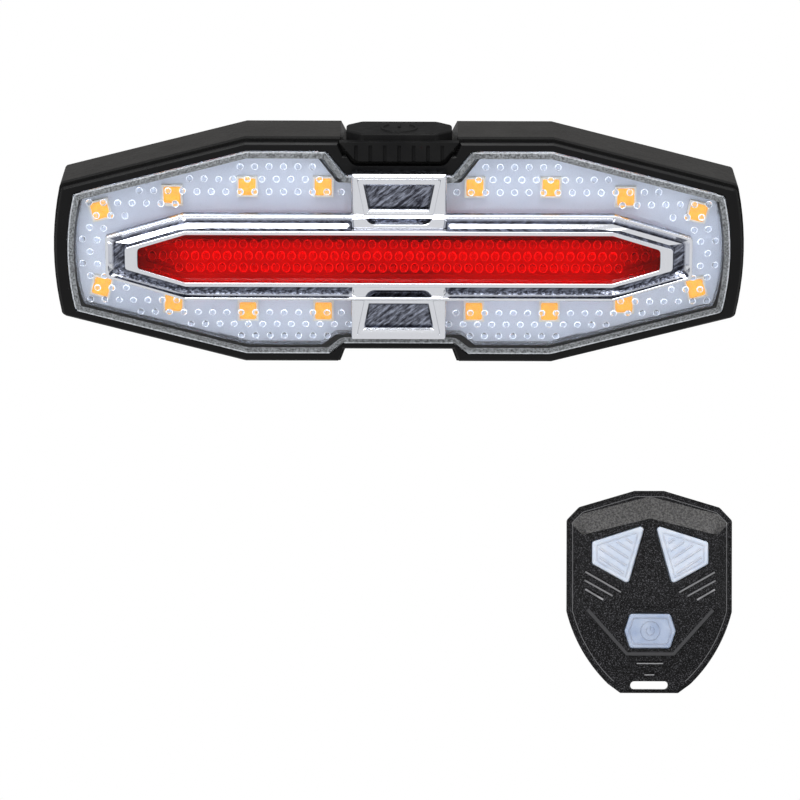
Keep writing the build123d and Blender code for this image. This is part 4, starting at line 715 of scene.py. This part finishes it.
# Marks on the keys of the remote, which lies on a leaning plane
RIB_LEAN, RIB_PITCH, RIB_INSET, RIB_SHORTEST = 33, 1.25, 1.0, 0.3
RIB_LINE, KEY_LINE = (0.42, 0.1), (0.26, 0.07)
MODE_LINE, CIRCLE_LINE, SIGN_LINE = (0.24, 0.06), (0.16, 0.05), (0.16, 0.06)
key_right = Vector((1, 0, 0))
key_out = Vector((0, -math.cos(REMOTE_LEAN), math.sin(REMOTE_LEAN)))
key_up = key_out.cross(key_right)


def key_face(name):
    """Outline of a key's front face about its middle, and the matrix of that face."""
    spots = [vert.co / MM for vert in nodes[name].data.vertices]
    level = max(spot.dot(key_out) for spot in spots)
    flat = [(spot.dot(key_right), spot.dot(key_up)) for spot in spots if spot.dot(key_out) > level - FLAT_FACE]
    hull = [Vector(flat[place]) for place in convex_hull_2d(flat)]
    middle = (Vector((min(spot.x for spot in hull), min(spot.y for spot in hull)))
              + Vector((max(spot.x for spot in hull), max(spot.y for spot in hull)))) / 2
    place = (key_right * middle.x + key_up * middle.y + key_out * level) * MM
    return [spot - middle for spot in hull], frame_on(place, key_right, key_out)


def reach(hull, start, direction, margin):
    """Distance from a point to the outline drawn in by a margin, along a direction; negative outside."""
    nothing = 1e-6
    longest = 1000.0
    for place, corner in enumerate(hull):
        side = corner - hull[place - 1]
        if side.length < nothing:
            continue
        inwards = Vector((-side.y, side.x)).normalized()
        if inwards.dot(-corner) < 0:
            inwards = -inwards
        room = inwards.dot(start - corner) - margin
        closing = -inwards.dot(direction)
        if room < 0:
            return -1.0
        if closing > nothing:
            longest = min(longest, room / closing)
    return longest


def key_border(hull, centre, inset, steps=90):
    """The key's outline drawn in by an inset, as points all round."""
    ways = [Vector((math.cos(step * math.tau / steps), math.sin(step * math.tau / steps))) for step in range(steps)]
    return [tuple(centre + way * reach(hull, centre, way, inset)) for way in ways]


for name, lean in (("left_turn_button", -RIB_LEAN), ("right_turn_button", RIB_LEAN)):
    hull, turned = key_face(name)
    centre = sum(hull, Vector((0, 0))) / len(hull)
    forms = [band(turned, key_border(hull, centre, 0.55), *KEY_LINE, closed=True)]
    along = Vector((math.cos(math.radians(lean)), math.sin(math.radians(lean))))
    across = Vector((-along.y, along.x))
    for rib in range(-4, 5):
        start = centre + across * RIB_PITCH * rib
        back, ahead = reach(hull, start, -along, RIB_INSET), reach(hull, start, along, RIB_INSET)
        if min(back, ahead) > RIB_SHORTEST:
            ends = [tuple(start - along * back), tuple(start + along * ahead)]
            forms.append(band(turned, ends, *RIB_LINE))
    piece_from(name + "_ribs", joined(forms), name)

hull, turned = key_face("mode_button")
forms = [band(turned, key_border(hull, Vector((0, 0)), 0.5), *MODE_LINE, closed=True),
         band(turned, arc(1.6, 0, 350, 35), *CIRCLE_LINE, closed=True)]
forms += power_mark(turned, 0.7, *SIGN_LINE)
piece_from("mode_button_mark", joined(forms), "mode_button", deep_silicone)

# Raised lines of the remote's front, painted pale as highlights, as (right, up) on its leaning plane, from the middle
# of the remote
CAST_LEVEL, BESIDE_LEVEL = 8.0, -2.0
GROOVE_LIPS = (((10.86, 3.4), (4.89, 0.0)), ((11.0, 2.0), (6.28, -0.62)), ((10.87, 0.48), (7.88, -1.26)))
KEY_RIDGE = ((-10.5, -2.9), (-3.9, -10.3), (3.9, -10.3), (10.5, -2.9))
FOOT_LIPS = ((-11.95, 2.2), (-13.9, 0.8))
LIP_LINE, RIDGE_LINE, FOOT_LINE, EDGE_LINE = (0.34, 0.1), (0.9, 0.2), (0.26, 0.14), (0.16, 0.05)
OUTSIDE, INSIDE = 24.0, 6.0
EDGE_INSET, TAB_HALF = 0.42, 5.9
box_low, box_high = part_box("remote_front")
pivot = Vector(((box_low.x + box_high.x) / 2, RIM_Y * MM, REMOTE_Z * MM))
plate = frame_on(pivot, key_right, key_out)
front_shape = surface("remote_front")


def plate_level(point):
    """Level of the remote's front at a point of the leaning plane; beside it, a level below all of it."""
    start = plate @ (Vector((point[0], point[1], CAST_LEVEL)) * MM)
    place, _, _, distance = front_shape.ray_cast(start, -key_out)
    return CAST_LEVEL - distance / MM if place else BESIDE_LEVEL


def divided(path, step):
    """The path with more points on its straight runs."""
    points = [path[0]]
    for before, after in zip(path, path[1:]):
        count = max(1, round((Vector(after) - Vector(before)).length / step))
        points += [tuple(Vector(before).lerp(Vector(after), place / count)) for place in range(1, count + 1)]
    return points


forms = []
for side in (-1, 1):
    for outer, inner in GROOVE_LIPS:
        path = divided([(side * outer[0], outer[1]), (side * inner[0], inner[1])], 1.0)
        forms.append(band(plate, path, *LIP_LINE, ground=plate_level))
# Painted highlights: pale lines on the groove lips, a lighter ridge and pale foot lips
piece_from("groove_lip_highlights", joined(forms), "remote_front", painted_highlight("lip_highlight", "8c8c8f"))
ridge = band(plate, divided(KEY_RIDGE, 1.2), *RIDGE_LINE, sunk=0.5, ground=plate_level)
piece_from("key_ridge", ridge, "remote_front", painted_highlight("ridge_highlight", "27272a"))
forms = [band(plate, [(-half, up), (half, up)], *FOOT_LINE, sunk=0.3, ground=plate_level) for up, half in FOOT_LIPS]
piece_from("foot_lip_highlights", joined(forms), "remote_front", painted_highlight("foot_highlight", "8c8c8f"))

# The painted highlight along the remote's edge runs from one corner of the strap tab, over the top, to the other
on_remote = [edge_along(angle, OUTSIDE, INSIDE, lambda x, z: plate_level((x, z)) > BESIDE_LEVEL + 0.05)
             for angle in coarse_angles]
outline = [tuple(drawn_in(on_remote, place, EDGE_INSET)) for place in range(len(on_remote))]
bottom = len(outline) * 3 // 4
outline = [point for point in outline[bottom:] + outline[:bottom] if point[1] > 0 or abs(point[0]) > TAB_HALF]
piece_from("shell_outline_highlight", band(plate, outline, *EDGE_LINE, sunk=0.1, ground=plate_level), "remote_front",
           painted_highlight("outline_highlight", "5a5a5c"))

# Power sign moulded on the pad of the main switch; its height in the camera's view gives its place on the pad
POWER_MARK_UP, POWER_MARK_RADIUS, POWER_MARK_LINE = 20.4, 2.8, (0.6, 0.2)
pad_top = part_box("power_button")[1].z / MM
mark_y = RIM_Y + (POWER_MARK_UP - pad_top * math.cos(VIEW_ELEVATION)) / math.sin(VIEW_ELEVATION)
turned = frame_on(Vector((0, mark_y, pad_top)) * MM, Vector((1, 0, 0)), Vector((0, 0, 1)))
piece_from("power_sign", joined(power_mark(turned, POWER_MARK_RADIUS, *POWER_MARK_LINE)), "power_button")

# Copies of the solids with the radius that the mould or the polisher leaves on their edges
EASED = {
    "front_bezel": 0.1, "main_housing": 0.25, "rear_cover": 0.3, "chrome_trim": 0.16, "clear_lens": 0.2,
    "power_button": 0.35, "post_bracket": 0.35, "remote_front": 0.07, "remote_rear": 0.25,
    "battery_door": 0.15, "charge_flap": 0.25,
}
UNCLAMPED = "chrome_trim"
FACET_WIDTH, SHORT_EDGE, MERGE_GAP = 2.2, 0.3, 0.002
MERGE_ANGLE, FLAT_ANGLE, EASED_ANGLE = math.radians(1), math.radians(2), math.radians(28)


def keep_facets(mesh):
    """Broad flat facets keep a crisp line between them where they meet at less than the eased angle."""
    for edge in mesh.edges:
        if len(edge.link_faces) != 2 or edge.calc_length() < SHORT_EDGE * MM:
            continue
        turn = edge.calc_face_angle(0)
        width = min(face.calc_area() for face in edge.link_faces) / edge.calc_length()
        if FLAT_ANGLE < turn < EASED_ANGLE and width > FACET_WIDTH * MM:
            edge.smooth = False


def finished_copy(name, radius):
    """Copy of a solid with its facets merged and its edges eased."""
    piece = bpy.data.objects.new(name + "_finished", nodes[name].data.copy())
    bpy.context.collection.objects.link(piece)
    mesh = bmesh.new()
    mesh.from_mesh(piece.data)
    bmesh.ops.remove_doubles(mesh, verts=mesh.verts, dist=MERGE_GAP * MM)
    bmesh.ops.dissolve_limit(mesh, angle_limit=MERGE_ANGLE, verts=mesh.verts, edges=mesh.edges)
    for face in mesh.faces:
        face.smooth = True
    keep_facets(mesh)
    mesh.to_mesh(piece.data)
    mesh.free()
    easing = piece.modifiers.new("eased edges", "BEVEL")
    easing.width = radius * MM
    easing.segments = 2
    easing.limit_method = "ANGLE"
    easing.angle_limit = EASED_ANGLE
    easing.use_clamp_overlap = name != UNCLAMPED
    flat_faces = piece.modifiers.new("flat faces", "WEIGHTED_NORMAL")
    flat_faces.keep_sharp = True
    made_plain(piece)
    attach(piece, body_of[name])
    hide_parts(name)


for name, radius in EASED.items():
    finished_copy(name, radius)

# Camera: above the light's axis, 700 mm from the rim, the light left of and above the middle
DISTANCE = 700.0
PIXELS_PER_MM = 6.11
IMAGE_SIZE = 800
LIGHT_PIXEL = (398.4, 253.3)
ROLL = 0.003
right = Vector((1, 0, 0))
upward = Vector((0, math.sin(VIEW_ELEVATION), math.cos(VIEW_ELEVATION)))
outward = Vector((0, -math.cos(VIEW_ELEVATION), math.sin(VIEW_ELEVATION)))
aim = (Vector((0, RIM_Y, 0)) + right * (IMAGE_SIZE / 2 - LIGHT_PIXEL[0]) / PIXELS_PER_MM
       - upward * (IMAGE_SIZE / 2 - LIGHT_PIXEL[1]) / PIXELS_PER_MM)
camera = bpy.data.objects.new("camera", bpy.data.cameras.new("camera"))
bpy.context.collection.objects.link(camera)
camera.data.sensor_width = 36.0
camera.data.lens = camera.data.sensor_width * PIXELS_PER_MM * DISTANCE / IMAGE_SIZE
camera.data.clip_start = 0.01
camera.data.clip_end = 50.0
turn = Matrix((right, upward, outward)).transposed()
camera.matrix_world = (Matrix.Translation((aim + outward * DISTANCE) * MM) @ turn.to_4x4()
                       @ Matrix.Rotation(ROLL, 4, "Z"))
bpy.context.scene.camera = camera

# Studio, in metres: a pale floor well below the parts, and large soft lamps.
# Strengths of the white that is seen by the camera, through glass, in reflections, by plain surfaces,
# and of the dark cloth behind the object that reflections see
SEEN_LIGHT, GLASS_LIGHT, GLOSS_LIGHT, AIR_LIGHT, CLOTH_LIGHT = 1.0, 2.0, 0.8, 0.5, 0.26
FLOOR_HALF, FLOOR_Z = 6, -0.16


def seen_strength(tree, gloss):
    """Strength that depends on whether a surface is seen by the camera, through glass or in a reflection."""
    path = add_node(tree, "ShaderNodeLightPath")
    by_camera = add_node(tree, "ShaderNodeMath", {"operation": "MULTIPLY", 1: SEEN_LIGHT},
                         [(0, path, "Is Camera Ray")])
    by_glass = add_node(tree, "ShaderNodeMath", {"operation": "MULTIPLY", 1: GLASS_LIGHT},
                        [(0, path, "Is Transmission Ray")])
    by_gloss = add_node(tree, "ShaderNodeMath", {"operation": "MULTIPLY", 1: gloss}, [(0, path, "Is Glossy Ray")])
    most = add_node(tree, "ShaderNodeMath", {"operation": "MAXIMUM"}, [(0, by_camera, "Value"), (1, by_glass, "Value")])
    return add_node(tree, "ShaderNodeMath", {"operation": "MAXIMUM"}, [(0, most, "Value"), (1, by_gloss, "Value")])


def ghost_white(name, code):
    """White for the camera and through glass, softer in reflections; a plain pale surface for the light."""
    material = bpy.data.materials.new(name)
    material.use_nodes = True
    tree = material.node_tree
    tree.nodes.clear()
    strength = seen_strength(tree, GLOSS_LIGHT)
    seen = add_node(tree, "ShaderNodeMath", {"operation": "GREATER_THAN", 1: 0.001}, [(0, strength, "Value")])
    plain = add_node(tree, "ShaderNodeBsdfDiffuse", {"Color": linear(code)})
    glow = add_node(tree, "ShaderNodeEmission", {"Color": (1, 1, 1, 1)}, [("Strength", strength, "Value")])
    mix = add_node(tree, "ShaderNodeMixShader", {}, [(0, seen, "Value"), (1, plain, "BSDF"), (2, glow, "Emission")])
    add_node(tree, "ShaderNodeOutputMaterial", {}, [("Surface", mix, "Shader")])
    return material


mesh = bpy.data.meshes.new("floor")
mesh.from_pydata([(x * FLOOR_HALF, y * FLOOR_HALF, 0) for x, y in ((-1, -1), (1, -1), (1, 1), (-1, 1))],
                 [], [(0, 1, 2, 3)])
mesh.materials.append(ghost_white("studio_floor", "f2f2f2"))
floor = bpy.data.objects.new("floor", mesh)
bpy.context.collection.objects.link(floor)
floor.location = (0, 0, FLOOR_Z)

world = bpy.data.worlds.new("studio")
bpy.context.scene.world = world
world.use_nodes = True
sky = world.node_tree
sky.nodes.clear()
# Reflections see the cloth behind the object; the camera and the glass see plain white
way = add_node(sky, "ShaderNodeTexCoord")
way = add_node(sky, "ShaderNodeSeparateXYZ", {}, [("Vector", way, "Generated")])
cloth = add_node(sky, "ShaderNodeMapRange",
                 {"From Min": 0.15, "From Max": 0.55, "To Min": GLOSS_LIGHT, "To Max": CLOTH_LIGHT},
                 [("Value", way, "Y")])
path = add_node(sky, "ShaderNodeLightPath")
by_gloss = add_node(sky, "ShaderNodeMath", {"operation": "MULTIPLY"},
                    [(0, path, "Is Glossy Ray"), (1, cloth, "Result")])
by_light = add_node(sky, "ShaderNodeMath", {"operation": "MULTIPLY", 1: AIR_LIGHT}, [(0, path, "Is Diffuse Ray")])
strength = seen_strength(sky, 0.0)
for extra in (by_gloss, by_light):
    strength = add_node(sky, "ShaderNodeMath", {"operation": "MAXIMUM"}, [(0, strength, "Value"), (1, extra, "Value")])
air = add_node(sky, "ShaderNodeBackground", {"Color": (1, 1, 1, 1)}, [("Strength", strength, "Value")])
add_node(sky, "ShaderNodeOutputWorld", {}, [("Surface", air, "Background")])


def lamp(name, place, target, size, power):
    """Large soft lamp aimed at a point."""
    light = bpy.data.lights.new(name, "AREA")
    light.shape = "RECTANGLE"
    light.size, light.size_y = size
    light.energy = power
    piece = bpy.data.objects.new(name, light)
    bpy.context.collection.objects.link(piece)
    piece.location = place
    direction = Vector(target) - Vector(place)
    piece.rotation_euler = direction.to_track_quat("-Z", "Y").to_euler()


lamp("key_lamp", (-0.35, -0.75, 0.85), (0, 0, -0.02), (0.7, 0.5), 9.0)
lamp("top_lamp", (0.1, -0.12, 0.9), (0, -0.03, 0), (0.8, 0.5), 5.0)

bpy.context.scene.view_settings.view_transform = "Standard"
